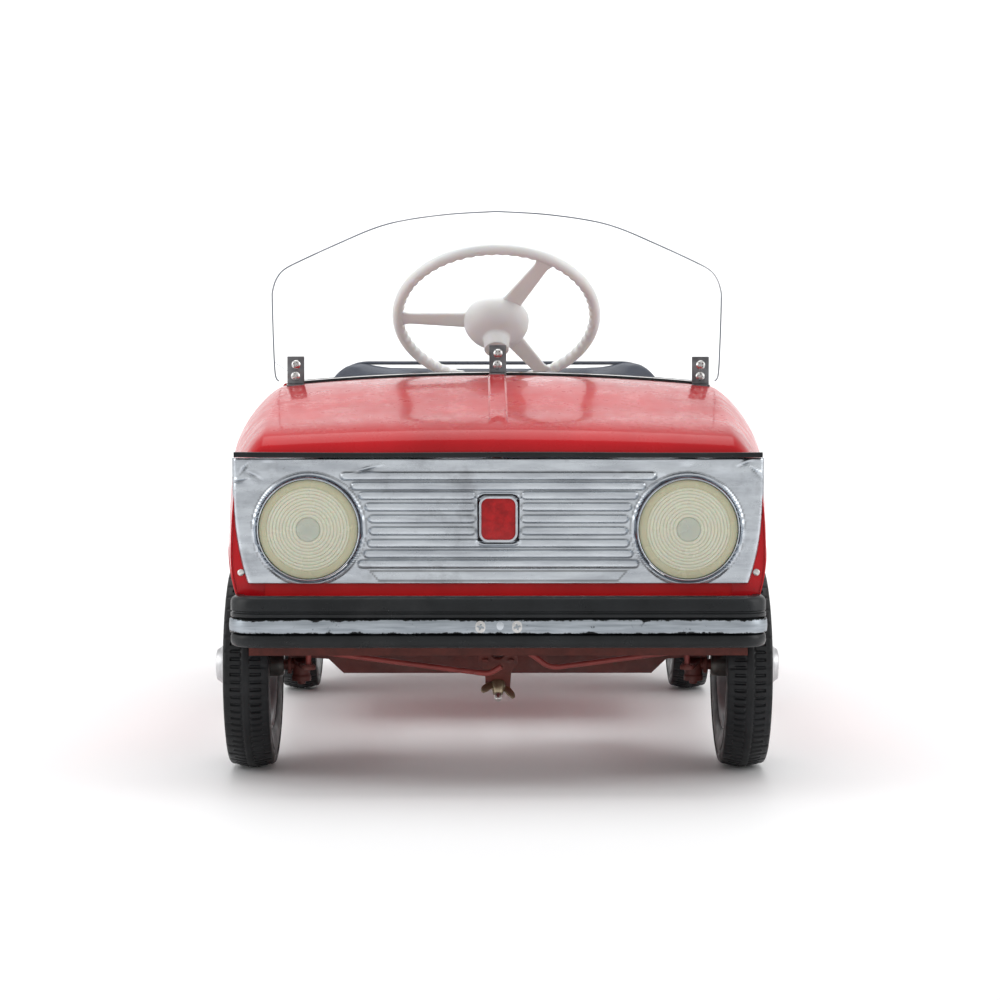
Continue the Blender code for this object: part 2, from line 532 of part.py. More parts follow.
# ---------------------------------------------------------------- knuckles and tie rods
for side, tag in ((1, "left"), (-1, "right")):
    kx = side * KINGPIN_X
    knuckle = cyl(f"knuckle_{tag}", 0.0090, (kx, FRONT_Y, 0.0800), (kx, FRONT_Y, 0.1020 - GAP), 20, origin=(kx, FRONT_Y, 0.095))
    pin = cyl(f"kingpin_{tag}", 0.0040, (kx, FRONT_Y, 0.0850), (kx, FRONT_Y, 0.1300), 16, cutter=True)
    head = cyl(f"kingpin_nut_{tag}", 0.0070, (kx, FRONT_Y, 0.1256), (kx, FRONT_Y, 0.1310), 6, cutter=True)
    stub = cyl(f"stub_axle_{tag}", AXLE_R, (kx, FRONT_Y, WHEEL_R), (side * 0.2450, FRONT_Y, WHEEL_R), 16, cutter=True)
    a = Vector((kx, FRONT_Y, 0.0))
    b = Vector((side * ARM_PIN[0], ARM_PIN[1], 0.0))
    d = (b - a).normalized()
    p = Vector((-d.y, d.x, 0.0))
    ends = [a + d * 0.002 + p * 0.0075, a + d * 0.002 - p * 0.0075, b - p * 0.0065 - d * 0.002, b + d * 0.0065 - p * 0.003, b + d * 0.0065 + p * 0.003,
            b + p * 0.0065 - d * 0.002]
    arm = outline(f"steer_arm_{tag}", [(q.x, q.y) for q in ends], 0.0040, Matrix.Identity(3), (0, 0, 0.0995 - 0.0005), cutter=True)
    for c in (pin, head, stub, arm):
        cut(knuckle, c, "UNION")
    finish(knuckle, "primer_steel", 40)

    hook = HUB - N * (COLUMN_L + 0.0018 + 0.0115) + U * CRANK_ARM
    ax, ay, az = side * ARM_PIN[0], ARM_PIN[1], 0.1145
    if side > 0:
        path = [(ax, ay, 0.1014 + 0.0004), (ax, ay, az), (0.0510, hook.y - 0.004, 0.1045), (0.0425, hook.y - 0.006, 0.1066), (0.0285, hook.y - 0.009, 0.1175),
                (0.0190, hook.y - 0.010, 0.1212), (-0.0060, hook.y - 0.010, 0.1212), (-0.0115, hook.y - 0.010, 0.1202)]
    else:
        path = [(ax, ay, 0.1014 + 0.0004), (ax, ay, az), (-0.0080, hook.y, hook.z - 0.0030), (0.0030, hook.y - 0.003, hook.z + 0.0040)]
    finish(tube(f"tie_rod_{tag}", rounded_path(path, 0.005, 3), ROD_TIE_R, origin=(ax, ay, az)), "grey_steel")

# ---------------------------------------------------------------- wheels
T = TYRE_W / 2
TYRE_PROFILE = [(0.0660, T - 0.0018), (0.0850, T), (0.0925, T - 0.0025), (WHEEL_R, T - 0.0085), (WHEEL_R, -T + 0.0085), (0.0925, -T + 0.0025),
                (0.0850, -T), (0.0660, -T + 0.0018), (0.0600, -T + 0.0035), (0.0600, T - 0.0035)]
DISC_PROFILE = [(0.0110, 0.0180), (0.0110, 0.0090), (0.0520, 0.0090), (0.0550, 0.0165), (0.0597, 0.0165), (0.0597, -0.0165),
                (0.0545, 0.0060), (0.0110, 0.0060), (0.0110, -0.0280), (AXLE_R + GAP, -0.0280), (AXLE_R + GAP, 0.0180)]
CAP_FACE = HUBCAP_X - WHEEL_X
CAP_PROFILE = [(0.0, CAP_FACE), (0.0130, CAP_FACE), (0.0148, CAP_FACE - 0.0014), (0.0250, 0.0200), (0.0330, 0.0120), (0.0345, 0.0093),
               (0.0330, 0.0093), (0.0235, 0.0185), (0.0132, CAP_FACE - 0.0030), (0.0, CAP_FACE - 0.0020)]
for y, end in ((FRONT_Y, "front"), (REAR_Y, "rear")):
    for side, tag in ((1, "left"), (-1, "right")):
        at, ax = (side * WHEEL_X, y, WHEEL_R), (side, 0, 0)
        finish(turned(f"tyre_{end}_{tag}", TYRE_PROFILE, at, ax, 28), "tyre_rubber", 45)
        finish(turned(f"wheel_disc_{end}_{tag}", DISC_PROFILE, at, ax, 28), "grey_steel", 35)
        finish(turned(f"hubcap_{end}_{tag}", CAP_PROFILE, at, ax, 20, closed=False), "bright_aluminium", 35)

# ---------------------------------------------------------------- pedal drive
XW = 0.010                                                # half width of a crank pin
axle_pts = [(-0.2450, REAR_Y, WHEEL_R)]
for cx, s in ((-THROW_X, 1), (THROW_X, -1)):              # the right throw points back, the left one forward
    axle_pts += [(cx - XW - 0.004, REAR_Y, WHEEL_R), (cx - XW - 0.004, REAR_Y + s * THROW, WHEEL_R), (cx + XW + 0.004, REAR_Y + s * THROW, WHEEL_R),
                 (cx + XW + 0.004, REAR_Y, WHEEL_R)]
axle_pts += [(0.2450, REAR_Y, WHEEL_R)]
finish(tube("crank_axle", rounded_path(axle_pts, 0.007, 3), AXLE_R, origin=(0, REAR_Y, WHEEL_R)), "grey_steel")

for side, tag in ((1, "left"), (-1, "right")):
    s = -side                                             # where this throw points along y
    pin_y = REAR_Y + s * THROW
    x = side * THROW_X
    front_y = PEDAL_Y + s * THROW
    lo = [(pin_y + 0.0105 * math.cos(math.radians(a)), WHEEL_R + 0.0105 * math.sin(math.radians(a))) for a in range(-60, 61, 24)]
    fr = [(front_y - 0.0075 * math.cos(math.radians(a)), PEDAL_PIN_Z - 0.0075 * math.sin(math.radians(a))) for a in range(-60, 61, 30)]
    rod_pts = lo + [(pin_y - 0.012, WHEEL_R + 0.0075), (front_y + 0.020, PEDAL_PIN_Z + 0.0055)] + fr + [(front_y + 0.020, PEDAL_PIN_Z - 0.0055), (pin_y - 0.012, WHEEL_R - 0.0070)]
    rod = outline(f"connecting_rod_{tag}", rod_pts, 0.0060, XZY, (x, 0, 0), as_mesh=True)
    rod.data.transform(Matrix.Translation((-pin_y, -WHEEL_R, 0)))
    rod.matrix_world = Matrix.Translation((x, pin_y, WHEEL_R)) @ XZY.to_4x4()
    cut(rod, cyl(f"rod_eye_{tag}", AXLE_R + GAP, (x - 0.01, pin_y, WHEEL_R), (x + 0.01, pin_y, WHEEL_R), 16, cutter=True))
    finish(rod, "grey_steel")

    px = side * PEDAL_X
    swing = -s * math.atan2(THROW, PEDAL_Z - PEDAL_PIN_Z)
    pedal = cyl(f"pedal_{tag}", 0.0090, (px - 0.0035 * side - 0.0, PEDAL_Y, PEDAL_Z), (px + 0.0100 * side, PEDAL_Y, PEDAL_Z), 20, origin=(px, PEDAL_Y, PEDAL_Z))
    arm = box(f"pedal_arm_{tag}", (px - 0.0025, PEDAL_Y - 0.006, 0.0900), (px + 0.0025, PEDAL_Y + 0.006, PEDAL_Z), origin=(px, PEDAL_Y, PEDAL_Z), cutter=True)
    xa, xb = sorted((px, px + side * 0.0560))
    pad = box(f"pedal_pad_{tag}", (xa, PEDAL_Y - 0.0070, 0.0760), (xb, PEDAL_Y + 0.0070, 0.1280), origin=(px, PEDAL_Y, PEDAL_Z), bevel=0.003, cutter=True)
    cut(pedal, arm, "UNION")
    cut(pedal, pad, "UNION")
    cut(pedal, cyl(f"pedal_bore_{tag}", AXLE_R + GAP, (px - 0.02, PEDAL_Y, PEDAL_Z), (px + 0.02, PEDAL_Y, PEDAL_Z), 16, cutter=True))
    for ob in (pedal, arm, pad):
        ob.rotation_euler = (swing, 0.0, 0.0)
    finish(pedal, "black_rubber", 40)

shaft_half = side_point(PEDAL_Y, 1.12, 1)[0] - SHEET - 0.0012
finish(cyl("pedal_shaft", AXLE_R, (-shaft_half, PEDAL_Y, PEDAL_Z), (shaft_half, PEDAL_Y, PEDAL_Z), 16), "grey_steel", 40)
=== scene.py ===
import math
import random

import bmesh
import bpy
import numpy as np
from mathutils import Matrix, Vector


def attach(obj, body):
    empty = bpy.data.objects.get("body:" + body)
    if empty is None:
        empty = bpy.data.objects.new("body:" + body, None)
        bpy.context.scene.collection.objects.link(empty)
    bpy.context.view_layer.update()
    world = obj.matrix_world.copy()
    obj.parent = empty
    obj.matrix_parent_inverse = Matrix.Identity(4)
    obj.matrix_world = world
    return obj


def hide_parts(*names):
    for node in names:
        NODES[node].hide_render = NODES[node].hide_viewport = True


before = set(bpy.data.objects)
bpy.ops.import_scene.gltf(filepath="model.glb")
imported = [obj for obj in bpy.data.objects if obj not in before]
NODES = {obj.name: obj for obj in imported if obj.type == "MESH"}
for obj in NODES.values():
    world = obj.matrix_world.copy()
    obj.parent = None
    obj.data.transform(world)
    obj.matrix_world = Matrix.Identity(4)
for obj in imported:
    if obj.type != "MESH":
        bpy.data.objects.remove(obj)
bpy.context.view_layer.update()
R = random.Random(7)

# ================================================================ materials
def _ramp(nt, fac, stops):
    r = nt.nodes.new("ShaderNodeValToRGB")
    e = r.color_ramp.elements
    while len(e) < len(stops):
        e.new(0.5)
    for el, (p, c) in zip(e, stops):
        el.position, el.color = p, (*c, 1.0)
    nt.links.new(fac, r.inputs["Fac"])
    return r.outputs["Color"]


def _noise(nt, vec, scale, detail=4.0, rough=0.55, dist=0.0):
    n = nt.nodes.new("ShaderNodeTexNoise")
    n.inputs["Scale"].default_value, n.inputs["Detail"].default_value = scale, detail
    n.inputs["Roughness"].default_value, n.inputs["Distortion"].default_value = rough, dist
    nt.links.new(vec, n.inputs["Vector"])
    return n.outputs["Fac"]


def _range(nt, val, a, b, c, d):
    m = nt.nodes.new("ShaderNodeMapRange")
    for k, v in zip(("From Min", "From Max", "To Min", "To Max"), (a, b, c, d)):
        m.inputs[k].default_value = v
    nt.links.new(val, m.inputs["Value"])
    return m.outputs["Result"]


def _math(nt, op, a, b=None):
    m = nt.nodes.new("ShaderNodeMath")
    m.operation = op
    for i, v in enumerate((a, b)):
        if v is None:
            continue
        if isinstance(v, (int, float)):
            m.inputs[i].default_value = v
        else:
            nt.links.new(v, m.inputs[i])
    return m.outputs[0]


def _mix(nt, fac, a, b):
    m = nt.nodes.new("ShaderNodeMix")
    m.data_type = "RGBA"
    for s, v in ((m.inputs["Factor"], fac), (m.inputs["A"], a), (m.inputs["B"], b)):
        if isinstance(v, tuple):
            s.default_value = (*v, 1.0)
        elif isinstance(v, (int, float)):
            s.default_value = v
        else:
            nt.links.new(v, s)
    return m.outputs["Result"]


class Mat:
    """A Principled material built up from object-space noises."""

    def __init__(self, name, stretch=(1, 1, 1), **fixed):
        self.m = bpy.data.materials.new(name)
        self.m.use_nodes = True
        self.nt = self.m.node_tree
        self.b = self.nt.nodes["Principled BSDF"]
        tc = self.nt.nodes.new("ShaderNodeTexCoord")
        self.raw = tc.outputs["Object"]
        mp = self.nt.nodes.new("ShaderNodeMapping")
        mp.inputs["Scale"].default_value = stretch
        self.nt.links.new(self.raw, mp.inputs["Vector"])
        self.v = mp.outputs["Vector"]
        for k, v in fixed.items():
            k = k.replace("_", " ")
            self.b.inputs[k].default_value = (*v, 1.0) if isinstance(v, tuple) and len(v) == 3 and "Color" in k else v

    def colour(self, sock):
        self.nt.links.new(sock, self.b.inputs["Base Color"])
        return self

    def rough(self, sock):
        self.nt.links.new(sock, self.b.inputs["Roughness"])
        return self

    def bump(self, sock, strength, dist):
        bp = self.nt.nodes.new("ShaderNodeBump")
        bp.inputs["Strength"].default_value, bp.inputs["Distance"].default_value = strength, dist
        self.nt.links.new(sock, bp.inputs["Height"])
        self.nt.links.new(bp.outputs["Normal"], self.b.inputs["Normal"])
        return self

    def noise(self, scale, detail=4.0, rough=0.55, dist=0.0, raw=False):
        return _noise(self.nt, self.raw if raw else self.v, scale, detail, rough, dist)

    def attr(self, name):
        a = self.nt.nodes.new("ShaderNodeAttribute")
        a.attribute_name = name
        return a.outputs["Fac"]

    def axis(self, i):
        s = self.nt.nodes.new("ShaderNodeSeparateXYZ")
        self.nt.links.new(self.raw, s.inputs[0])
        return s.outputs[i]


def red_paint():
    k = Mat("red_enamel_paint", Coat_Weight=0.40, Coat_Roughness=0.04, Coat_IOR=1.40, IOR=1.42, Specular_IOR_Level=0.15)
    nt = k.nt
    base = _ramp(nt, k.noise(9.0, 5), [(0.3, (0.40, 0.004, 0.008)), (0.7, (0.53, 0.008, 0.014))])
    chip = _range(nt, k.noise(260.0, 3, 0.6), 0.70, 0.74, 0.0, 0.55)
    k.colour(_mix(nt, chip, base, (0.16, 0.02, 0.02)))
    k.rough(_range(nt, k.noise(38.0, 6, 0.65), 0.3, 0.75, 0.20, 0.42))
    h = _math(nt, "ADD", _math(nt, "MULTIPLY", k.noise(150.0, 2), 0.35), _math(nt, "MULTIPLY", k.noise(9.0, 2), 4.0))
    return k.bump(h, 0.10, 0.0016).m


def aluminium(name="stamped_aluminium", base=(0.64, 0.68, 0.72), dark=(0.46, 0.49, 0.53), stretch=(2, 8, 12), r=(0.22, 0.40)):
    k = Mat(name, stretch=stretch, Metallic=1.0, IOR=1.5)
    nt = k.nt
    g = _ramp(nt, k.noise(9.0, 6, 0.6), [(0.32, dark), (0.62, base)])
    stain = _range(nt, k.noise(16.0, 7, 0.72, raw=True), 0.54, 0.70, 0.0, 0.55)
    g = _mix(nt, stain, g, (0.25, 0.26, 0.28))
    g = _mix(nt, _range(nt, k.noise(90.0, 8, 0.8, raw=True), 0.66, 0.70, 0.0, 0.7), g, (0.10, 0.09, 0.08))
    # painted shade: the grille's grooves and creases are darkened towards near-black by a point attribute of the grille
    # mesh
    painted_groove_shade = _math(nt, "MULTIPLY", k.attr("painted_groove_shade"), 0.90)
    k.colour(_mix(nt, painted_groove_shade, g, (0.055, 0.05, 0.045)))
    k.rough(_range(nt, k.noise(16.0, 6, 0.7), 0.3, 0.7, r[0], r[1]))
    h = _math(nt, "ADD", _math(nt, "MULTIPLY", k.noise(30.0, 4), 0.3), _math(nt, "MULTIPLY", k.noise(24.0, 4, raw=True), 1.6))
    return k.bump(h, 0.13, 0.0012).m


def steel(name, a, b, r=(0.3, 0.55), metallic=1.0, rust=0.25, stretch=(1, 1, 1)):
    k = Mat(name, stretch=stretch, Metallic=metallic, IOR=1.5)
    nt = k.nt
    g = _ramp(nt, k.noise(40.0, 6, 0.6), [(0.3, a), (0.7, b)])
    k.colour(_mix(nt, _range(nt, k.noise(70.0, 7, 0.75), 0.56, 0.68, 0.0, rust), g, (0.10, 0.04, 0.02)))
    k.rough(_range(nt, k.noise(55.0, 6, 0.7), 0.3, 0.7, r[0], r[1]))
    return k.bump(k.noise(180.0, 5, 0.65), 0.25, 0.0008).m


def rubber(name, a=(0.005, 0.006, 0.007), b=(0.013, 0.015, 0.017), r=(0.38, 0.62), dust=0.25, scale=1.0, spec=0.28):
    k = Mat(name, IOR=1.5, Specular_IOR_Level=spec)
    nt = k.nt
    g = _ramp(nt, k.noise(30.0 * scale, 5), [(0.3, a), (0.75, b)])
    k.colour(_mix(nt, _range(nt, k.noise(8.0, 6, 0.7), 0.55, 0.75, 0.0, dust), g, (0.050, 0.050, 0.050)))
    k.rough(_range(nt, k.noise(70.0 * scale, 5), 0.3, 0.7, r[0], r[1]))
    return k.bump(k.noise(420.0 * scale, 3), 0.22, 0.0006).m


def acrylic():
    k = Mat("clear_acrylic_sheet", Transmission_Weight=1.0, IOR=1.40, Base_Color=(0.97, 0.985, 0.985), Specular_IOR_Level=0.42)
    nt = k.nt
    scr = _range(nt, k.noise(55.0, 8, 0.8), 0.62, 0.76, 0.0, 0.09)
    k.rough(_math(nt, "ADD", scr, 0.005))
    k.colour(_ramp(nt, k.noise(6.0, 3), [(0.3, (0.955, 0.975, 0.98)), (0.7, (0.985, 0.992, 0.99))]))
    return k.bump(k.noise(5.0, 2), 0.05, 0.002).m


def ivory():
    k = Mat("ivory_moulded_plastic", IOR=1.46, Subsurface_Weight=0.25, Subsurface_Scale=0.012, Coat_Weight=0.35, Coat_Roughness=0.12)
    k.b.inputs["Subsurface Radius"].default_value = (1.0, 0.8, 0.5)
    nt = k.nt
    g = _ramp(nt, k.noise(16.0, 6, 0.6), [(0.3, (0.86, 0.87, 0.86)), (0.7, (0.95, 0.95, 0.94))])
    k.colour(_mix(nt, _range(nt, k.noise(60.0, 7, 0.8), 0.60, 0.72, 0.0, 0.3), g, (0.52, 0.47, 0.40)))
    k.rough(_range(nt, k.noise(50.0, 5), 0.3, 0.7, 0.30, 0.50))
    return k.bump(k.noise(160.0, 4), 0.15, 0.0006).m


def lens():
    k = Mat("ribbed_lens_plastic", Transmission_Weight=0.06, IOR=1.46, Subsurface_Weight=0.25, Subsurface_Scale=0.006)
    nt = k.nt
    g = _ramp(nt, k.attr("rad"), [(0.0, (0.46, 0.49, 0.43)), (0.235, (0.50, 0.53, 0.45)), (0.26, (0.64, 0.64, 0.52)), (0.80, (0.66, 0.655, 0.53)), (0.86, (0.52, 0.505, 0.35)), (1.0, (0.58, 0.55, 0.38))])
    k.colour(_mix(nt, _range(nt, k.noise(80.0, 6, 0.7), 0.5, 0.72, 0.0, 0.12), g, (0.56, 0.52, 0.36)))
    k.rough(_range(nt, k.noise(60.0, 5), 0.3, 0.7, 0.16, 0.34))
    return k.bump(k.noise(200.0, 3), 0.10, 0.0005).m


def bumper_strip_mat():
    """Silver strip with the black of the rubber brushed raggedly over its long edges."""
    k = Mat("bright_strip_paint_edges", stretch=(3, 3, 40), Metallic=0.85, IOR=1.5)
    nt = k.nt
    z = k.axis(2)
    d = _math(nt, "ABSOLUTE", _math(nt, "SUBTRACT", z, 0.1463))
    wob = _range(nt, k.noise(70.0, 6, 0.8, raw=True), 0.3, 0.7, -0.0022, 0.0018)
    edge = _range(nt, _math(nt, "ADD", d, wob), 0.0048, 0.0054, 0.0, 1.0)
    g = _ramp(nt, k.noise(10.0, 6), [(0.3, (0.26, 0.29, 0.32)), (0.7, (0.44, 0.48, 0.52))])
    g = _mix(nt, _range(nt, k.noise(140.0, 7, 0.8, raw=True), 0.62, 0.67, 0.0, 0.8), g, (0.03, 0.035, 0.04))
    k.colour(_mix(nt, edge, g, (0.010, 0.011, 0.012)))
    k.rough(_range(nt, k.noise(30.0, 6, 0.7), 0.3, 0.7, 0.28, 0.5))
    return k.bump(_math(nt, "ADD", k.noise(25.0, 4, raw=True), edge), 0.2, 0.0005).m


def vinyl():
    k = Mat("navy_grained_vinyl", IOR=1.5, Coat_Weight=0.35, Coat_Roughness=0.22)
    nt = k.nt
    vo = nt.nodes.new("ShaderNodeTexVoronoi")
    vo.inputs["Scale"].default_value = 520.0
    vo.feature = "DISTANCE_TO_EDGE"
    nt.links.new(k.raw, vo.inputs["Vector"])
    k.colour(_ramp(nt, k.noise(25.0, 5), [(0.3, (0.007, 0.012, 0.030)), (0.7, (0.016, 0.026, 0.060))]))
    k.rough(_range(nt, k.noise(40.0, 5), 0.3, 0.7, 0.30, 0.46))
    h = _math(nt, "MINIMUM", vo.outputs["Distance"], 0.25)
    return k.bump(h, 0.35, 0.0008).m


def primer():
    k = Mat("red_brown_underframe_paint", IOR=1.5)
    nt = k.nt
    g = _ramp(nt, k.noise(30.0, 6, 0.65), [(0.25, (0.060, 0.014, 0.010)), (0.7, (0.155, 0.030, 0.022))])
    k.colour(_mix(nt, _range(nt, k.noise(60.0, 7, 0.75), 0.56, 0.66, 0.0, 0.75), g, (0.055, 0.035, 0.026)))
    k.rough(_range(nt, k.noise(70.0, 6), 0.3, 0.7, 0.42, 0.75))
    return k.bump(k.noise(140.0, 6, 0.7), 0.4, 0.001).m


M = {
    "red": red_paint(), "alu": aluminium(), "steel": steel("plain_steel", (0.30, 0.30, 0.31), (0.52, 0.52, 0.53)),
    "bracket": steel("bracket_steel", (0.05, 0.05, 0.055), (0.26, 0.26, 0.27), r=(0.24, 0.5), rust=0.6),
    "screw": steel("plated_screw", (0.45, 0.45, 0.45), (0.78, 0.77, 0.75), r=(0.18, 0.4), rust=0.15),
    "nut": steel("wing_nut_zinc", (0.25, 0.20, 0.13), (0.48, 0.40, 0.28), rust=0.45),
    "rod": steel("tie_rod_paint", (0.17, 0.026, 0.022), (0.30, 0.050, 0.042), metallic=0.15, r=(0.35, 0.6), rust=0.5),
    "disc": steel("wheel_disc_grey", (0.30, 0.31, 0.32), (0.46, 0.47, 0.48), metallic=0.6, rust=0.2),
    "cap": aluminium("hubcap_aluminium", (0.66, 0.66, 0.67), (0.46, 0.46, 0.47), stretch=(30, 6, 6), r=(0.30, 0.5)),
    "black": rubber("black_moulding_rubber", r=(0.24, 0.48), dust=0.35), "tyre": rubber("tyre_rubber", a=(0.004, 0.0045, 0.005), b=(0.011, 0.012, 0.014), r=(0.30, 0.55), dust=0.30),
    "pedal": rubber("pedal_rubber", dust=0.4), "acrylic": acrylic(), "ivory": ivory(), "lens": lens(), "strip": bumper_strip_mat(),
    "vinyl": vinyl(), "primer": primer(), "valance": None, "hub": steel("hub_tube_steel", (0.05, 0.048, 0.046), (0.12, 0.11, 0.10), metallic=0.7, rust=0.6),
}


def enamel():
    k = Mat("badge_red_enamel", Coat_Weight=0.3, Coat_Roughness=0.08, IOR=1.45, Specular_IOR_Level=0.2)
    k.colour(_ramp(k.nt, k.noise(160.0, 4), [(0.3, (0.26, 0.004, 0.006)), (0.7, (0.46, 0.010, 0.012))]))
    k.rough(_range(k.nt, k.noise(90.0, 4), 0.3, 0.7, 0.15, 0.35))
    return k.bump(k.noise(220.0, 3), 0.1, 0.0004).m


def sheet_edge():
    """Sawn edge of the clear sheet, dark where light is trapped in it."""
    k = Mat("acrylic_sawn_edge", Transmission_Weight=0.15, IOR=1.45)
    g = _ramp(k.nt, k.noise(30.0, 5), [(0.3, (0.10, 0.125, 0.16)), (0.7, (0.26, 0.30, 0.35))])
    k.colour(_mix(k.nt, _range(k.nt, k.noise(9.0, 3), 0.55, 0.66, 0.0, 0.8), g, (0.70, 0.74, 0.78)))
    k.rough(_range(k.nt, k.noise(120.0, 4), 0.3, 0.7, 0.25, 0.55))
    return k.bump(k.noise(300.0, 4), 0.2, 0.0004).m


def valance():
    """Red paint above, brown on the lower lip that faces the road."""
    k = Mat("valance_paint", IOR=1.45, Specular_IOR_Level=0.15, Coat_Weight=0.2, Coat_Roughness=0.2)
    nt = k.nt
    low = _range(nt, _math(nt, "ADD", k.axis(2), _range(nt, k.noise(60.0, 6, 0.7), 0.3, 0.7, -0.003, 0.003)), 0.128, 0.140, 1.0, 0.0)
    red = _ramp(nt, k.noise(12.0, 5), [(0.3, (0.52, 0.006, 0.008)), (0.7, (0.70, 0.014, 0.016))])
    brown = _ramp(nt, k.noise(50.0, 7, 0.7), [(0.3, (0.060, 0.016, 0.012)), (0.7, (0.135, 0.028, 0.020))])
    k.colour(_mix(nt, low, red, brown))
    k.rough(_range(nt, k.noise(60.0, 6), 0.3, 0.7, 0.30, 0.60))
    return k.bump(k.noise(90.0, 6, 0.7), 0.25, 0.0008).m


M["enamel"], M["edge"], M["valance"] = enamel(), sheet_edge(), valance()


# ================================================================ mesh helpers
def add(name, me, mat, body, replaces=(), sharp=35, smooth=True):
    ob = bpy.data.objects.new(name, me)
    bpy.context.scene.collection.objects.link(ob)
    me.materials.clear()
    me.materials.append(M[mat])
    if smooth:
        me.shade_smooth()
        me.set_sharp_from_angle(angle=math.radians(sharp))
    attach(ob, body)
    if replaces:
        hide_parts(*replaces)
    return ob


def from_bm(bm, name, weld=1e-6):
    if weld:
        bmesh.ops.remove_doubles(bm, verts=bm.verts, dist=weld)
    me = bpy.data.meshes.new(name)
    bm.to_mesh(me)
    bm.free()
    return me


def grid_mesh(name, P, wrap_u=False, wrap_v=False):
    """P: array (nu, nv, 3) of points."""
    nu, nv = P.shape[:2]
    me = bpy.data.meshes.new(name)
    f = []
    for i in range(nu if wrap_u else nu - 1):
        for j in range(nv if wrap_v else nv - 1):
            a, b, c, d = i * nv + j, i * nv + (j + 1) % nv, ((i + 1) % nu) * nv + (j + 1) % nv, ((i + 1) % nu) * nv + j
            f.append((a, b, c, d))
    me.from_pydata(P.reshape(-1, 3).tolist(), [], f)
    return me


def basis(axis):
    """Columns: two directions across, then axis."""
    w = Vector(axis).normalized()
    u = Vector((1, 0, 0)) if abs(w.x) < 0.9 else Vector((0, 1, 0))
    v = w.cross(u).normalized()
    u = v.cross(w).normalized()
    return Matrix((u, v, w)).transposed()


def lathe(profile, at, axis, steps=64, closed=True, wobble=None):
    """Turned solid from (radius, height) pairs; poles where the radius is 0."""
    bm = bmesh.new()
    B, at = basis(axis), Vector(at)
    rings = []
    for r, h in profile:
        if r < 1e-7:
            rings.append([bm.verts.new(at + B @ Vector((0, 0, h)))])
        else:
            rings.append([bm.verts.new(at + B @ Vector((r * math.cos(2 * math.pi * i / steps), r * math.sin(2 * math.pi * i / steps), h)))
                          for i in range(steps)])
    pairs = list(zip(rings, rings[1:])) + ([(rings[-1], rings[0])] if closed else [])
    for a, b in pairs:
        if len(a) == 1 and len(b) == 1:
            continue
        for i in range(steps):
            j = (i + 1) % steps
            q = [a[i % len(a)], a[j % len(a)], b[j % len(b)], b[i % len(b)]]
            u = []
            for v in q:
                if v not in u:
                    u.append(v)
            bm.faces.new(u)
    bmesh.ops.recalc_face_normals(bm, faces=bm.faces)
    return bm


def rounded(profile, r=0.0006, n=3):
    """Closed (a, b) outline with its corners rounded by r."""
    out, m = [], len(profile)
    for i in range(m):
        a, b, c = Vector(profile[i - 1]), Vector(profile[i]), Vector(profile[(i + 1) % m])
        if (a - b).length < 1e-9 or (c - b).length < 1e-9:
            continue
        u, v = (a - b), (c - b)
        d = min(r, 0.45 * u.length, 0.45 * v.length)
        p, q = b + u.normalized() * d, b + v.normalized() * d
        for k in range(n + 1):
            t = k / n
            out.append(tuple((1 - t) ** 2 * p + 2 * t * (1 - t) * b + t * t * q))
    return out


def sweep(path, section, up=(0, 0, 1), cyclic=False):
    """Closed section (a outward, b up) carried along a path; end caps unless cyclic."""
    bm = bmesh.new()
    path, up, rings = [Vector(p) for p in path], Vector(up), []
    n = len(path)
    for i, p in enumerate(path):
        a, b = (path[i - 1], path[(i + 1) % n]) if cyclic else (path[max(i - 1, 0)], path[min(i + 1, n - 1)])
        t = (b - a).normalized()
        side = t.cross(up).normalized()
        rings.append([bm.verts.new(p + side * s[0] + side.cross(t) * s[1]) for s in section])
    m = len(section)
    for i in range(n if cyclic else n - 1):
        for j in range(m):
            bm.faces.new((rings[i][j], rings[i][(j + 1) % m], rings[(i + 1) % n][(j + 1) % m], rings[(i + 1) % n][j]))
    if not cyclic:
        bm.faces.new(rings[0][::-1])
        bm.faces.new(rings[-1])
    bmesh.ops.recalc_face_normals(bm, faces=bm.faces)
    return bm


def circle(r, n=12):
    return [(r * math.cos(2 * math.pi * i / n), r * math.sin(2 * math.pi * i / n)) for i in range(n)]


def smooth_path(pts, k=8, cyclic=False):
    """Catmull-Rom through the points."""
    pts = [Vector(p) for p in pts]
    n, out = len(pts), []
    for i in range(n if cyclic else n - 1):
        if cyclic:
            a, b, c, d = (pts[(i + o) % n] for o in (-1, 0, 1, 2))
        else:
            a, b, c, d = pts[max(i - 1, 0)], pts[i], pts[i + 1], pts[min(i + 2, n - 1)]
        for j in range(k):
            t = j / k
            out.append(0.5 * ((2 * b) + (c - a) * t + (2 * a - 5 * b + 4 * c - d) * t * t + (3 * b - a - 3 * c + d) * t ** 3))
    if not cyclic:
        out.append(pts[-1])
    return out


def rounded_path(pts, r, n=5):
    pts = [Vector(p) for p in pts]
    out = [pts[0]]
    for a, b, c in zip(pts, pts[1:], pts[2:]):
        u, v = (a - b), (c - b)
        d = min(r, 0.45 * u.length, 0.45 * v.length)
        p, q = b + u.normalized() * d, b + v.normalized() * d
        for k in range(n + 1):
            t = k / n
            out.append((1 - t) ** 2 * p + 2 * t * (1 - t) * b + t * t * q)
    out.append(pts[-1])
    return out


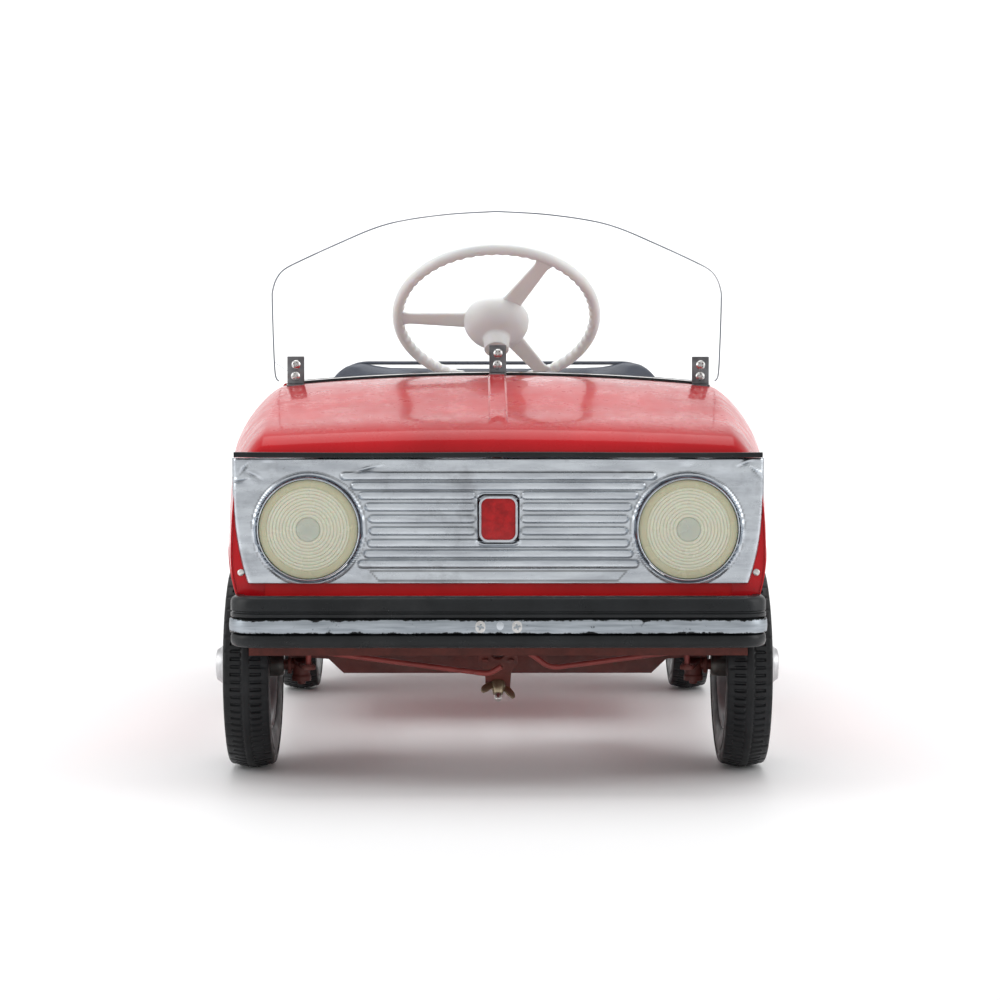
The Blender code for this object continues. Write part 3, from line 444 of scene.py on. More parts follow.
def plate(outline, t, matrix, at, bevel=0.0006, seg=2):
    """Flat outline (x, y), thickness t about its plane, edges rounded."""
    bm = bmesh.new()
    vs = [bm.verts.new((x, y, -t / 2)) for x, y in outline]
    f = bm.faces.new(vs)
    ex = bmesh.ops.extrude_face_region(bm, geom=[f])
    bmesh.ops.translate(bm, verts=[g for g in ex["geom"] if isinstance(g, bmesh.types.BMVert)], vec=(0, 0, t))
    bmesh.ops.recalc_face_normals(bm, faces=bm.faces)
    if bevel:
        rim = [e for e in bm.edges if abs(e.verts[0].co.z - e.verts[1].co.z) < 1e-9 and len({round(g.normal.z, 2) for g in e.link_faces}) > 1]
        bmesh.ops.bevel(bm, geom=rim, offset=bevel, segments=seg, affect="EDGES", profile=0.6)
    bmesh.ops.transform(bm, matrix=Matrix.Translation(at) @ matrix.to_4x4(), verts=bm.verts)
    return bm


def block(lo, hi, bevel=0.001, seg=2):
    bm = bmesh.new()
    bmesh.ops.create_cube(bm, size=1.0)
    lo, hi = Vector(lo), Vector(hi)
    for v in bm.verts:
        v.co = Vector([lo[i] + (v.co[i] + 0.5) * (hi[i] - lo[i]) for i in range(3)])
    if bevel:
        bmesh.ops.bevel(bm, geom=list(bm.edges), offset=bevel, segments=seg, affect="EDGES", profile=0.5)
    return bm


def merge(*bms):
    """Several bmeshes into one."""
    out = bmesh.new()
    for b in bms:
        me = bpy.data.meshes.new("part")
        b.to_mesh(me)
        b.free()
        out.from_mesh(me)
        bpy.data.meshes.remove(me)
    return out


def rounded_rect(w, h, r, n=6):
    pts = []
    for cx, cy, a in ((w / 2 - r, h / 2 - r, 0), (-w / 2 + r, h / 2 - r, 90), (-w / 2 + r, -h / 2 + r, 180), (w / 2 - r, -h / 2 + r, 270)):
        pts += [(cx + r * math.cos(math.radians(a + 90 * i / n)), cy + r * math.sin(math.radians(a + 90 * i / n))) for i in range(n + 1)]
    return pts


def cross_head(at, axis, r, h, slot=True, turn=0.0, base=0.0006):
    """Domed screw head with a cross recess."""
    bm = bmesh.new()
    B, at = basis(axis), Vector(at)
    nr, na = 10, 48
    ca, sa = math.cos(turn), math.sin(turn)
    rings = []
    for i in range(nr + 1):
        q = i / nr
        ring = []
        for j in range(na):
            a = 2 * math.pi * j / na
            x, y = q * r * math.cos(a), q * r * math.sin(a)
            z = h * math.sqrt(max(0.0, 1 - 0.93 * q * q))
            u, v = x * ca - y * sa, x * sa + y * ca
            if slot and q < 0.62 and min(abs(u), abs(v)) < 0.13 * r:
                z -= 0.75 * h * min(1.0, (0.66 - q) / 0.35 + 0.25)
            ring.append(bm.verts.new(at + B @ Vector((x, y, z + base))))
        rings.append(ring)
    skirt = [bm.verts.new(at + B @ Vector((r * math.cos(2 * math.pi * j / na), r * math.sin(2 * math.pi * j / na), -0.0004))) for j in range(na)]
    rings.append(skirt)
    for a, b in zip(rings, rings[1:]):
        for j in range(na):
            bm.faces.new((a[j], a[(j + 1) % na], b[(j + 1) % na], b[j]))
    bm.faces.new(skirt[::-1])
    bmesh.ops.remove_doubles(bm, verts=bm.verts, dist=1e-6)
    bmesh.ops.recalc_face_normals(bm, faces=bm.faces)
    return bm


XY_FRONT = Matrix(((1, 0, 0), (0, 0, -1), (0, 1, 0)))      # outline x -> X, y -> Z, thickness along Y
XZY = Matrix(((0, 0, 1), (1, 0, 0), (0, 1, 0)))            # outline x -> Y, y -> Z, thickness along X

# ================================================================ body shell
FRONT_Y, REAR_Y, AXLE_Z, ARCH_R = -0.375, 0.265, 0.095, 0.112
NOSE_Y, COWL_Y, DECK_Y, TAIL_Y, CREASE_X, BULGE_Z = -0.522, -0.246, 0.200, 0.5265, 0.206, 0.205
CENTRE = ((-0.522, 0.294), (-0.517, 0.307), (-0.500, 0.3175), (-0.450, 0.3300), (-0.250, 0.3655), (0.200, 0.3620),
          (0.350, 0.3570), (0.450, 0.3440), (0.510, 0.3220), (0.528, 0.3020))
CREASE = ((-0.522, 0.291), (-0.517, 0.302), (-0.500, 0.3120), (-0.450, 0.3235), (-0.250, 0.3555), (-0.100, 0.3200),
          (0.060, 0.3140), (0.200, 0.3500), (0.350, 0.3470), (0.450, 0.3350), (0.510, 0.3140), (0.528, 0.2960))
SHOULDER = ((-0.522, 0.2700), (-0.450, 0.2820), (-0.250, 0.2970), (-0.100, 0.2860), (0.060, 0.2830), (0.200, 0.2930),
            (0.450, 0.2800), (0.528, 0.2620))
WIDTH = ((-0.522, 0.2300), (-0.500, 0.2320), (-0.450, 0.2380), (-0.375, 0.2450), (-0.250, 0.2517), (0.000, 0.2535),
         (0.200, 0.2520), (0.350, 0.2470), (0.450, 0.2390), (0.528, 0.2250))


def knot(table, x):
    xs, ys = [k[0] for k in table], [k[1] for k in table]
    if x <= xs[0]:
        return ys[0]
    if x >= xs[-1]:
        return ys[-1]
    n = len(xs)
    d = [(ys[i + 1] - ys[i]) / (xs[i + 1] - xs[i]) for i in range(n - 1)]
    m = [d[0]] + [0.0 if d[i - 1] * d[i] <= 0 else 2 * d[i - 1] * d[i] / (d[i - 1] + d[i]) for i in range(1, n - 1)] + [d[-1]]
    i = max(k for k in range(n - 1) if xs[k] <= x)
    h = xs[i + 1] - xs[i]
    t = (x - xs[i]) / h
    return ((2 * t ** 3 - 3 * t ** 2 + 1) * ys[i] + (t ** 3 - 2 * t ** 2 + t) * h * m[i]
            + (-2 * t ** 3 + 3 * t ** 2) * ys[i + 1] + (t ** 3 - t ** 2) * h * m[i + 1])


def sill(y):
    return 0.157 if y < FRONT_Y else (0.160 if y > REAR_Y else 0.115)


def smooth01(t):
    t = min(1.0, max(0.0, t))
    return t * t * (3 - 2 * t)


def hood_z(x, y):
    zc, zk = knot(CENTRE, y), knot(CREASE, y)
    z = zc - (zc - zk) * (x / CREASE_X) ** 2
    if y < COWL_Y + 0.01:                                  # raised centre rib, pointed at the nose end
        half = 0.0082
        z += 0.0021 * (1 - smooth01((abs(x) - half + 0.0014) / 0.0016)) * smooth01((y + 0.489 - 0.013 * max(0.0, 1 - abs(x) / half)) / 0.0035)
    return z


def side_x(y, z):
    zs, w, zb = knot(SHOULDER, y), knot(WIDTH, y), sill(y)
    k = 0.0045 / (zs - BULGE_Z) ** 2 if z > BULGE_Z else 0.010 / (BULGE_Z - zb) ** 2
    return w + 0.0045 - k * (z - BULGE_Z) ** 2


def corner(y, t):
    zk, zs, w = knot(CREASE, y), knot(SHOULDER, y), knot(WIDTH, y)
    p = 2 / 1.4
    return CREASE_X + (w - CREASE_X) * math.sin(t) ** p, zs + (zk - zs) * max(math.cos(t), 0.0) ** p


def body_mesh():
    ys = sorted(set([round(v, 5) for v in np.concatenate([
        np.linspace(NOSE_Y, -0.512, 8), np.linspace(-0.512, -0.490, 10), np.linspace(-0.490, COWL_Y, 62), np.linspace(COWL_Y, DECK_Y, 110),
        np.linspace(DECK_Y, 0.505, 76), np.linspace(0.505, TAIL_Y, 8)])]))
    xs = sorted(set([round(v, 5) for v in np.concatenate([np.linspace(0, 0.0125, 14), np.linspace(0.0125, 0.200, 24), [0.204, CREASE_X]])]))
    ts = [math.pi / 2 * i / 14 for i in range(1, 15)]
    nz = 40
    rows, kind = [], None
    for y in ys:
        half, kind = [], []
        for x in xs:
            half.append((x, hood_z(x, y)))
            kind.append("top")
        for t in ts:
            half.append(corner(y, t))
            kind.append("corner")
        zs, zb = knot(SHOULDER, y), sill(y)
        for i in range(1, nz + 1):
            z = zs + (zb - zs) * i / nz
            half.append((side_x(y, z), z))
            kind.append("side")
        rows.append(half)
    n = len(kind)
    last_top = len(xs) - 1
    bm = bmesh.new()
    for s in (1, -1):
        V = {}
        inside = {}
        for i, y in enumerate(ys):
            for j, (x, z) in enumerate(rows[i]):
                V[i, j] = [s * x, y, z]
                if kind[j] == "side":
                    for cy in (FRONT_Y, REAR_Y):
                        if math.hypot(y - cy, z - AXLE_Z) < ARCH_R:
                            inside[i, j] = cy
        keep = {}
        faces = []
        for i in range(len(ys) - 1):
            for j in range(n - 1):
                if j < last_top and COWL_Y - 1e-6 <= ys[i] and ys[i + 1] <= DECK_Y + 1e-6:
                    continue
                quad = [(i, j), (i, j + 1), (i + 1, j + 1), (i + 1, j)]
                hit = [q in inside for q in quad]
                if all(hit):
                    continue
                for q, h in zip(quad, hit):
                    if h and q not in keep:
                        cy = inside[q]
                        y, z = V[q][1] - cy, V[q][2] - AXLE_Z
                        f = ARCH_R / math.hypot(y, z)
                        y, z = cy + y * f, AXLE_Z + z * f
                        keep[q] = True
                        V[q] = [s * side_x(ys[q[0]], z), y, z]
                faces.append(quad)
        made = {}
        for quad in faces:
            for q in quad:
                if q not in made:
                    made[q] = bm.verts.new(V[q])
            vs = [made[q] for q in quad]
            bm.faces.new(vs if s > 0 else vs[::-1])
    # tail panel below the deck
    cols = [-1 + 2 * i / 48 for i in range(49)]
    zk, zsh = knot(CREASE, TAIL_Y), knot(SHOULDER, TAIL_Y)

    def tail_half(z):
        if z <= zsh:
            return side_x(TAIL_Y, z)
        t = math.acos(min(1.0, max(0.0, (z - zsh) / (zk - zsh))) ** (1.4 / 2))
        return corner(TAIL_Y, t)[0]

    prof = [(TAIL_Y, 0.3030), (0.5290, 0.2975), (0.5315, 0.2900), (0.5340, 0.2820), (0.5355, 0.2740), (0.5372, 0.2630), (0.5385, 0.2480), (0.5392, 0.2200),
            (0.5385, 0.1900), (0.5360, 0.1600)]
    P = np.array([[(c * (tail_half(z - 0.0065) if i else CREASE_X), TAIL_Y + (y - TAIL_Y) * (1 - abs(c) ** 7), hood_z(c * CREASE_X, TAIL_Y) if i == 0 else z - 0.0055 * abs(c) ** 3 * (z > 0.25))
                   for c in cols] for i, (y, z) in enumerate(prof)])
    me = grid_mesh("tail", P)
    bm.from_mesh(me)
    bmesh.ops.remove_doubles(bm, verts=bm.verts, dist=2e-5)
    small = [f for f in bm.faces if f.calc_area() < 1e-10]
    bmesh.ops.delete(bm, geom=small, context="FACES_ONLY")
    bmesh.ops.delete(bm, geom=[v for v in bm.verts if not v.link_faces], context="VERTS")
    bmesh.ops.recalc_face_normals(bm, faces=bm.faces)
    up = sum(f.normal.z for f in bm.faces if f.calc_center_median().z > 0.33)
    if up < 0:
        bmesh.ops.reverse_faces(bm, faces=bm.faces)
    return from_bm(bm, "body_shell", 0)


body = add("body_shell", body_mesh(), "red", "chassis", ("hood_panel", "body_side_left", "body_side_right", "rear_deck"), sharp=28)
so = body.modifiers.new("sheet", "SOLIDIFY")
so.thickness, so.offset = 0.0014, -1.0

# rolled edges: wheel openings, sills, cockpit sides
def arch_path(side, cy, z0_front, z0_rear):
    a0 = math.asin((z0_front - AXLE_Z) / ARCH_R)
    a1 = math.pi - math.asin((z0_rear - AXLE_Z) / ARCH_R)
    pts = []
    for i in range(49):
        a = a0 + (a1 - a0) * i / 48
        y, z = cy - ARCH_R * math.cos(a), AXLE_Z + ARCH_R * math.sin(a)
        pts.append((side * (side_x(y, z) - 0.0012), y, z))
    return pts


for side, tag in ((1, "left"), (-1, "right")):
    bms = []
    front = arch_path(side, FRONT_Y, 0.157, 0.115)
    rear = arch_path(side, REAR_Y, 0.115, 0.160)
    nose_edge = [(side * (side_x(y, 0.157) - 0.0012), y, 0.157) for y in np.linspace(-0.5215, front[0][1], 8)[:-1]]
    sill_edge = [(side * (side_x(y, 0.115) - 0.0012), y, 0.115) for y in np.linspace(front[-1][1], rear[0][1], 40)[1:-1]]
    tail_edge = [(side * (side_x(y, 0.160) - 0.0012), y, 0.160) for y in np.linspace(rear[-1][1], 0.5262, 12)[1:]]
    edge = nose_edge + front + sill_edge + rear + tail_edge
    rim_edge = [(side * (CREASE_X + 0.0002), y, knot(CREASE, y) - 0.0008) for y in np.linspace(COWL_Y + 0.002, DECK_Y, 60)]
    add(f"rolled_edge_{tag}", from_bm(merge(sweep(edge, circle(0.0021, 10)), sweep(rim_edge, circle(0.0032, 10))), "re"), "red", "chassis", sharp=60)
for side, tag in ((1, "left"), (-1, "right")):
    zs = np.linspace(0.1585, 0.2890, 24)
    o = [(side * 0.2050, z) for z in zs] + [(side * (side_x(-0.5205, z) - (0.0016 if z < 0.27 else 0.0016 + (z - 0.27) * 1.1)), z) for z in zs[::-1]]
    add(f"nose_flange_{tag}", from_bm(plate(o if side < 0 else o[::-1], 0.0014, XY_FRONT, (0, -0.5204, 0), 0.0003), "nf"), "red", "chassis", sharp=40)
deck_edge = [(x, DECK_Y, hood_z(x, DECK_Y) - 0.0008) for x in np.linspace(-CREASE_X, CREASE_X, 40)]
add("rolled_edge_deck", from_bm(sweep(deck_edge, circle(0.0032, 10)), "rd"), "red", "chassis", sharp=60)

# ================================================================ grille
GT, GB = 0.2900, 0.1820
LX, LZ, LR = 0.1657, 0.2295, 0.0450
BADGE = (0.0, 0.2382)


def ghalf(z):
    return 0.2205 + 0.0125 * (1 - (1 - (z - GB) / (GT - GB)) ** 3)


def capsule(x, z, x0, x1, zc, r):
    dx = max(x0 + r - x, 0.0, x - x1 + r)
    return math.hypot(dx, z - zc) - r


def bead(d, w):
    """1 on the crest falling to 0 at distance w outside."""
    return 1 - smooth01((d + w) / (1.6 * w))


RIDGES = [0.2758, 0.2670, 0.2587, 0.2487, 0.2382, 0.2277, 0.2168, 0.2076, 0.1989]
folds = [(-0.222, 0.283, 0.9, 0.006), (-0.214, 0.277, -0.5, 0.005), (-0.226, 0.272, 0.2, 0.006), (0.224, 0.281, -0.8, 0.006), (0.216, 0.287, 0.4, 0.005), (-0.1155, 0.2815, 0.25, 0.009)]
dents = [(R.uniform(-0.228, -0.165) if i % 2 else R.uniform(0.10, 0.228), R.uniform(0.268, 0.291), R.uniform(0.003, 0.011), R.uniform(-0.0014, 0.0011)) for i in range(34)]


def lamp_gap(z):
    """Half length of a ridge at height z, clear of the lamp rings."""
    dz = abs(z - LZ)
    ring = 0.0522
    return LX - math.sqrt(max(ring ** 2 - dz ** 2, 0.0)) if dz < ring else 0.140


def grille_out(x, z):
    """How far the pressing stands forward of its plane, and the painted shade darkening its grooves and creases."""
    out, painted_groove_shade = 0.0, 0.0
    for i, zr in enumerate(RIDGES):
        xe = min(0.1375 if i < 2 else 0.1255, lamp_gap(zr) - 0.001)
        segs = [(-xe, xe)] if i < 2 or i > 5 else [(-xe, -0.0205), (0.0205, xe)]
        for a, b in segs:
            d = capsule(x, z, a, b, zr, 0.0033)
            if d < 0.0022:
                out = max(out, 0.0019 * (1 - smooth01((d + 0.0012) / 0.0022)) + 0.0004 * max(0.0, 1 - ((z - zr) / 0.0033) ** 2) * (d < 0))
                # painted shade along the foot of each ridge
                if d > -0.0004:
                    painted_groove_shade = max(painted_groove_shade, 0.55 * max(0.0, 1 - abs(d - 0.0006) / 0.0010))
    # pressed field the ridges stand in
    xf = min(0.141, lamp_gap(z) + 0.001)
    rl = min(math.hypot(x - LX, z - LZ), math.hypot(x + LX, z - LZ))
    ring = 1 - smooth01((abs(rl - 0.0478) - 0.0005) / 0.0016)
    out = max(out, 0.0022 * ring) if rl > 0.0455 else out
    # painted shade in the groove round each lamp ring
    if 0.0497 < rl < 0.0508:
        painted_groove_shade = max(painted_groove_shade, 0.5)
    # step below the ridges
    zt, xt = 0.1885, 0.1085 - 0.9 * (0.1885 - z)
    d = max(abs(z - zt) - 0.0043, abs(x) - xt)
    out -= 0.0016 * (1 - smooth01((d + 0.0006) / 0.0014))
    # painted shade along the edge of the step
    if abs(d) < 0.0009:
        painted_groove_shade = max(painted_groove_shade, 0.6)
    # badge seat
    bx, bz = abs(x - BADGE[0]) - 0.0125, abs(z - BADGE[1]) - 0.0155
    db = math.hypot(max(bx, 0), max(bz, 0)) + min(max(bx, bz), 0) - 0.0055
    out = max(out, 0.0) + (-0.0012 if db < 0 else 0.0018 * (1 - smooth01((abs(db - 0.0012)) / 0.0016)))
    # painted shade round the edge of the badge seat
    if -0.001 < db < 0.0004:
        painted_groove_shade = max(painted_groove_shade, 0.6)
    for dx, dz, w, h in dents:
        q = ((x - dx) / w) ** 2 + ((z - dz) / (0.6 * w)) ** 2
        if q < 9:
            out += h * math.exp(-q)
    for fx, fz, ang, ln in folds:
        u = (x - fx) * math.cos(ang) + (z - fz) * math.sin(ang)
        v = -(x - fx) * math.sin(ang) + (z - fz) * math.cos(ang)
        if abs(u) < 2 * ln and abs(v) < 0.006:
            w = math.exp(-(u / ln) ** 2)
            out += 0.0016 * w * (math.exp(-((v - 0.0012) / 0.0012) ** 2) - math.exp(-((v + 0.0012) / 0.0014) ** 2))
            # painted shade on the lower side of each fold
            painted_groove_shade = max(painted_groove_shade, 0.8 * w * math.exp(-((v + 0.0010) / 0.0007) ** 2))
    # rolled sides and top
    hw = ghalf(z)
    e = hw - abs(x)
    if e < 0.006:
        out -= 0.0055 * (1 - math.sqrt(max(0.0, 1 - (1 - e / 0.006) ** 2)))
    if z > GT - 0.0005:
        out -= 0.0012 * ((z - GT + 0.0005) / 0.0022) ** 2
    out += 0.0004 * math.sin(x * 61) * math.sin(z * 97 + x * 23)
    return out, min(1.0, painted_groove_shade)


def grille_mesh():
    nx, nz = 300, 230
    V, G, idx, faces = [], [], {}, []
    pts, hole = {}, {}
    for i in range(nx + 1):
        for k in range(nz + 1):
            z = GB + (GT + 0.0017 - GB) * k / nz
            x = ghalf(z) * (-1 + 2 * i / nx)
            for s in (1, -1):
                r = math.hypot(x - s * LX, z - LZ)
                if r < LR + 0.0005:
                    hole[i, k] = s
            pts[i, k] = (x, z)
    for i in range(nx):
        for k in range(nz):
            quad = [(i, k), (i + 1, k), (i + 1, k + 1), (i, k + 1)]
            hit = [q in hole for q in quad]
            if all(hit):
                continue
            vs = []
            for q, h in zip(quad, hit):
                if q not in idx:
                    x, z = pts[q]
                    if h:
                        s = hole[q]
                        dx, dz = x - s * LX, z - LZ
                        f = (LR + 0.0005) / max(math.hypot(dx, dz), 1e-9)
                        x, z = s * LX + dx * f, LZ + dz * f
                    o, g = grille_out(x, z)
                    idx[q] = len(V)
                    V.append((x, -0.5245 - o, z))
                    G.append(g)
                vs.append(idx[q])
            faces.append(vs)
    me = bpy.data.meshes.new("grille_pressing")
    me.from_pydata(V, [], faces)
    # the painted shade of the grooves and creases is stored as a point attribute for the aluminium material
    a = me.attributes.new("painted_groove_shade", "FLOAT", "POINT")
    a.data.foreach_set("value", np.array(G, np.float32))
    return me


gr = add("grille_pressing", grille_mesh(), "alu", "chassis", ("grille",), sharp=60)
so = gr.modifiers.new("sheet", "SOLIDIFY")
so.thickness, so.offset = 0.0008, -1.0
for x in (-0.2255, 0.2262):
    add(f"grille_rivet_{'right' if x < 0 else 'left'}", from_bm(cross_head((x, -0.5211, 0.1912), (0, -1, 0), 0.0030, 0.0016, slot=False), "rv"), "screw", "chassis")

# badge: plain enamel plate in a metal rim
b_at = (BADGE[0], -0.5262, BADGE[1])
rim_path = [(x, -0.5274, BADGE[1] + z) for x, z in rounded_rect(0.0318, 0.0380, 0.0070, 8)]
add("badge_rim", from_bm(sweep(rim_path, [(a, b) for a, b in rounded([(-0.0010, -0.0016), (0.0010, -0.0016), (0.0010, 0.0014), (-0.0010, 0.0014)], 0.0006)],
                               up=(0, -1, 0), cyclic=True), "br"), "alu", "chassis", ("badge",), sharp=50)
add("badge_plate", from_bm(plate(rounded_rect(0.0306, 0.0368, 0.0064, 8), 0.0018, XY_FRONT, b_at, 0.0005), "bp"), "enamel", "chassis")

# headlamps
for side, tag in ((1, "left"), (-1, "right")):
    at = (side * LX, -0.5260, LZ)
    rim = [(0.0436, 0.0066), (0.0438, 0.0077), (0.0443, 0.0080), (0.0448, 0.0072), (0.0450, 0.0056), (0.0450, -0.0060), (0.0390, -0.0200), (0.0, -0.0238),
           (0.0, -0.0218), (0.0372, -0.0184), (0.0436, -0.0060), (0.0436, 0.0020)]
    add(f"lamp_shell_{tag}", from_bm(lathe(rim, at, (0, -1, 0), 96), "ls"), "alu", "chassis", (f"headlight_housing_{tag}",), sharp=40)
    pr = [(0.0, 0.0094), (0.0070, 0.0093), (0.0098, 0.0090), (0.0103, 0.0083)]
    nr = 9
    for i in range(nr):
        r0 = 0.0106 + (0.0366 - 0.0106) * i / nr
        r1 = 0.0106 + (0.0366 - 0.0106) * (i + 1) / nr
        dome = 0.0096 - 0.0024 * (r1 / 0.0366) ** 2
        pr += [(r0 + 0.0001, dome - 0.0007), (r0 + 0.0007, dome - 0.00015), (0.5 * (r0 + r1), dome), (r1 - 0.0005, dome - 0.0002), (r1 - 0.0001, dome - 0.0006)]
    pr += [(0.0372, 0.0072), (0.0395, 0.0068), (0.0420, 0.0060), (0.0430, 0.0052), (0.0434, 0.0040), (0.0434, 0.0031), (0.0400, 0.0034), (0.0, 0.0052)]
    bm = lathe(pr, at, (0, -1, 0), 96, closed=False)
    me = from_bm(bm, "ll")
    rad = [min(1.0, math.hypot(v.co.x - at[0], v.co.z - at[2]) / 0.0434) for v in me.vertices]
    me.attributes.new("rad", "FLOAT", "POINT").data.foreach_set("value", np.array(rad, np.float32))
    add(f"lamp_lens_{tag}", me, "lens", "chassis", (f"headlight_lens_{tag}",), sharp=22)

# ================================================================ mouldings and bumpers
m_path = [(x, -0.5255 + 0.0006 * math.sin(x * 40), 0.2943 + 0.0003 * math.sin(x * 23 + 1)) for x in np.linspace(-0.2308, 0.2308, 60)]
add("hood_moulding_strip", from_bm(sweep(m_path, rounded([(-0.0028, -0.0023), (0.0030, -0.0023), (0.0030, 0.0023), (-0.0028, 0.0023)], 0.0013)), "hm"), "black", "chassis",
    ("hood_moulding",), sharp=50)
c_path = [(x, COWL_Y + 0.0049, hood_z(x, COWL_Y - 0.02) * 0 + knot(CENTRE, COWL_Y) - (knot(CENTRE, COWL_Y) - knot(CREASE, COWL_Y)) * (x / CREASE_X) ** 2 + 0.0000)
          for x in np.linspace(-0.203, 0.203, 50)]
add("cowl_rubber_edge", from_bm(sweep(c_path, circle(0.0041, 14)), "cr"), "black", "chassis", ("cowl_trim",), sharp=60)


def plan_path(hw, yf, yb, r, n=10):
    s = -1 if yf < 0 else 1
    arc = [(-hw + r - r * math.cos(a), yf - s * (r - r * math.sin(a))) for a in np.linspace(0, math.pi / 2, n)]
    left = [(-hw, yb)] + arc
    mid = [(x, yf) for x in np.linspace(-hw + r, hw - r, 30)[1:-1]]
    return left + mid + [(-x, y) for x, y in left[::-1]]


RUB = [(-0.0125, 0.1290), (-0.0110, 0.1276), (-0.0040, 0.1276), (-0.0012, 0.1292), (0.0, 0.1322), (0.0, 0.1364), (-0.0007, 0.1384), (-0.0024, 0.1394), (-0.0045, 0.1398),
       (-0.0045, 0.1528), (-0.0026, 0.1531), (-0.0006, 0.1537), (0.0, 0.1548), (0.0, 0.1570), (-0.0012, 0.1578), (-0.0012, 0.1588), (0.0, 0.1596), (-0.0001, 0.1672),
       (-0.0012, 0.1700), (-0.0036, 0.1718), (-0.0060, 0.1724), (-0.0110, 0.1724), (-0.0125, 0.1712)]
STR = rounded([(-0.0043, 0.1402), (0.0008, 0.1402), (0.0013, 0.1463), (0.0008, 0.1524), (-0.0043, 0.1524)], 0.0010, 3)
for end, yf, yb, cr in (("front", -0.5535, -0.5237, 0.026), ("rear", 0.5535, 0.5300, 0.021)):
    s = -1 if yf < 0 else 1
    path = [(x, y, 0.0) for x, y in plan_path(0.2340, yf, yb, cr)]
    sec = [(a, z) for a, z in RUB]
    flip = -1 if yf > 0 else 1
    add(f"bumper_rubber_{end}", from_bm(sweep(path, [(flip * a, z) for a, z in sec]), "br"), "black", "chassis", (f"{end}_bumper_rubber",), sharp=50)
    add(f"bumper_strip_{end}_visible", from_bm(sweep(path, [(flip * a, z) for a, z in STR]), "bs"), "strip", "chassis", (f"{end}_bumper_strip",), sharp=40)
for i, x in enumerate((-0.0157, 0.0160)):
    add(f"bumper_screw_{'right' if x < 0 else 'left'}", from_bm(cross_head((x, -0.5541, 0.1463), (0, -1, 0), 0.0052, 0.0011, turn=0.3 + i, base=0.0), "sc"), "screw", "chassis")
add("bumper_rivet", from_bm(cross_head((0.0013, -0.5543, 0.1470), (0, -1, 0), 0.0036, 0.0008, slot=False, base=0.0), "rv"), "alu", "chassis")

# ================================================================ windscreen
half = [(0, 0.5238), (0.045, 0.5212), (0.088, 0.5155), (0.118, 0.5078), (0.155, 0.4922), (0.190, 0.4762), (0.2062, 0.4676), (0.2135, 0.4588), (0.2172, 0.4480),
        (0.2178, 0.4380), (0.2168, 0.4000), (0.2152, 0.3670), (0.2118, 0.3596)]
curve = smooth_path([(x, z, 0) for x, z in half], 6)
edge = [(v.x, v.y) for v in curve]
low = [(x, max(hood_z(x, -0.2675), 0.3575) + 0.0012) for x in np.linspace(0.200, -0.200, 30) if abs(x) > 0.011 or True]
low = [(x, knot(CENTRE, -0.2675) - (knot(CENTRE, -0.2675) - knot(CREASE, -0.2675)) * (x / CREASE_X) ** 2 + 0.0030) for x in np.linspace(0.203, -0.203, 30)]
out = edge + low + [(-x, z) for x, z in edge[::-1][:-1]]
add("windscreen_sheet", from_bm(plate(out, 0.0026, XY_FRONT, (0, -0.2675, 0), 0.0005, 2), "ws"), "acrylic", "chassis", ("windscreen",), smooth=False)
e_path = [(x, -0.2675, z) for x, z in edge[::-1]] + [(-x, -0.2675, z) for x, z in edge[1:]]
add("windscreen_edge", from_bm(sweep(e_path, rounded([(-0.0006, -0.0015), (0.0006, -0.0015), (0.0006, 0.0015), (-0.0006, 0.0015)], 0.0003, 2), up=(0, 1, 0)), "we"), "edge", "chassis", sharp=50)
crack = [(-0.2163, -0.2688, 0.3790), (-0.2120, -0.2688, 0.3752), (-0.2105, -0.2688, 0.3745), (-0.2050, -0.2688, 0.3705), (-0.2030, -0.2688, 0.3698)]
add("windscreen_crack", from_bm(sweep(crack, circle(0.0002, 6)), "wc"), "edge", "chassis", sharp=50)
for tag, x in (("left", 0.1975), ("centre", 0.0008), ("right", -0.1950)):
    zf = hood_z(x, -0.278) + (0.0006 if tag != "centre" else 0.0006)
    y0 = -0.2675 - 0.0015
    t = 0.0016
    prof = [(y0, zf + 0.0002), (y0, zf + 0.0275), (y0 - t, zf + 0.0275), (y0 - t, zf + t), (y0 - 0.0130, zf + t - 0.0016), (y0 - 0.0130, zf - 0.0016)]
    bk = plate(prof, 0.0165, XZY, (x, 0, 0), 0.0005)
    add(f"bracket_{tag}", from_bm(bk, "bk"), "bracket", "chassis", (f"screen_bracket_{tag}",), sharp=40)
    for k, dz in enumerate((0.0085, 0.0195)):
        add(f"bracket_screw_{tag}_{k}", from_bm(cross_head((x + 0.0005 * (k - 0.5), y0 - t, zf + dz), (0, -1, 0), 0.0044, 0.0026, slot=True, turn=k * 0.7 + x * 9), "sc"),
            "screw", "chassis")
        add(f"bracket_nut_{tag}_{k}", from_bm(lathe([(0, 0.0), (0.0035, 0.0), (0.0035, 0.0022), (0, 0.0026)], (x, -0.2660, zf + dz), (0, 1, 0), 6, closed=False), "bn"),
            "bracket", "chassis", sharp=20)
# ================================================================ steering wheel, column and linkage
S50, C50 = math.sin(math.radians(50)), math.cos(math.radians(50))
HUB = Vector((0.0, -0.16855, 0.4248))
N = Vector((0.0, C50, S50))
U = Vector((0.0, -S50, C50))
WB = Matrix((Vector((1, 0, 0)), -U, N)).transposed()
COL_L = 0.4387


def in_wheel(bm, turn=0.0, shift=(0, 0, 0)):
    bmesh.ops.transform(bm, matrix=Matrix.Translation(HUB) @ WB.to_4x4() @ Matrix.Rotation(turn, 4, "Z") @ Matrix.Translation(shift), verts=bm.verts)
    return bm


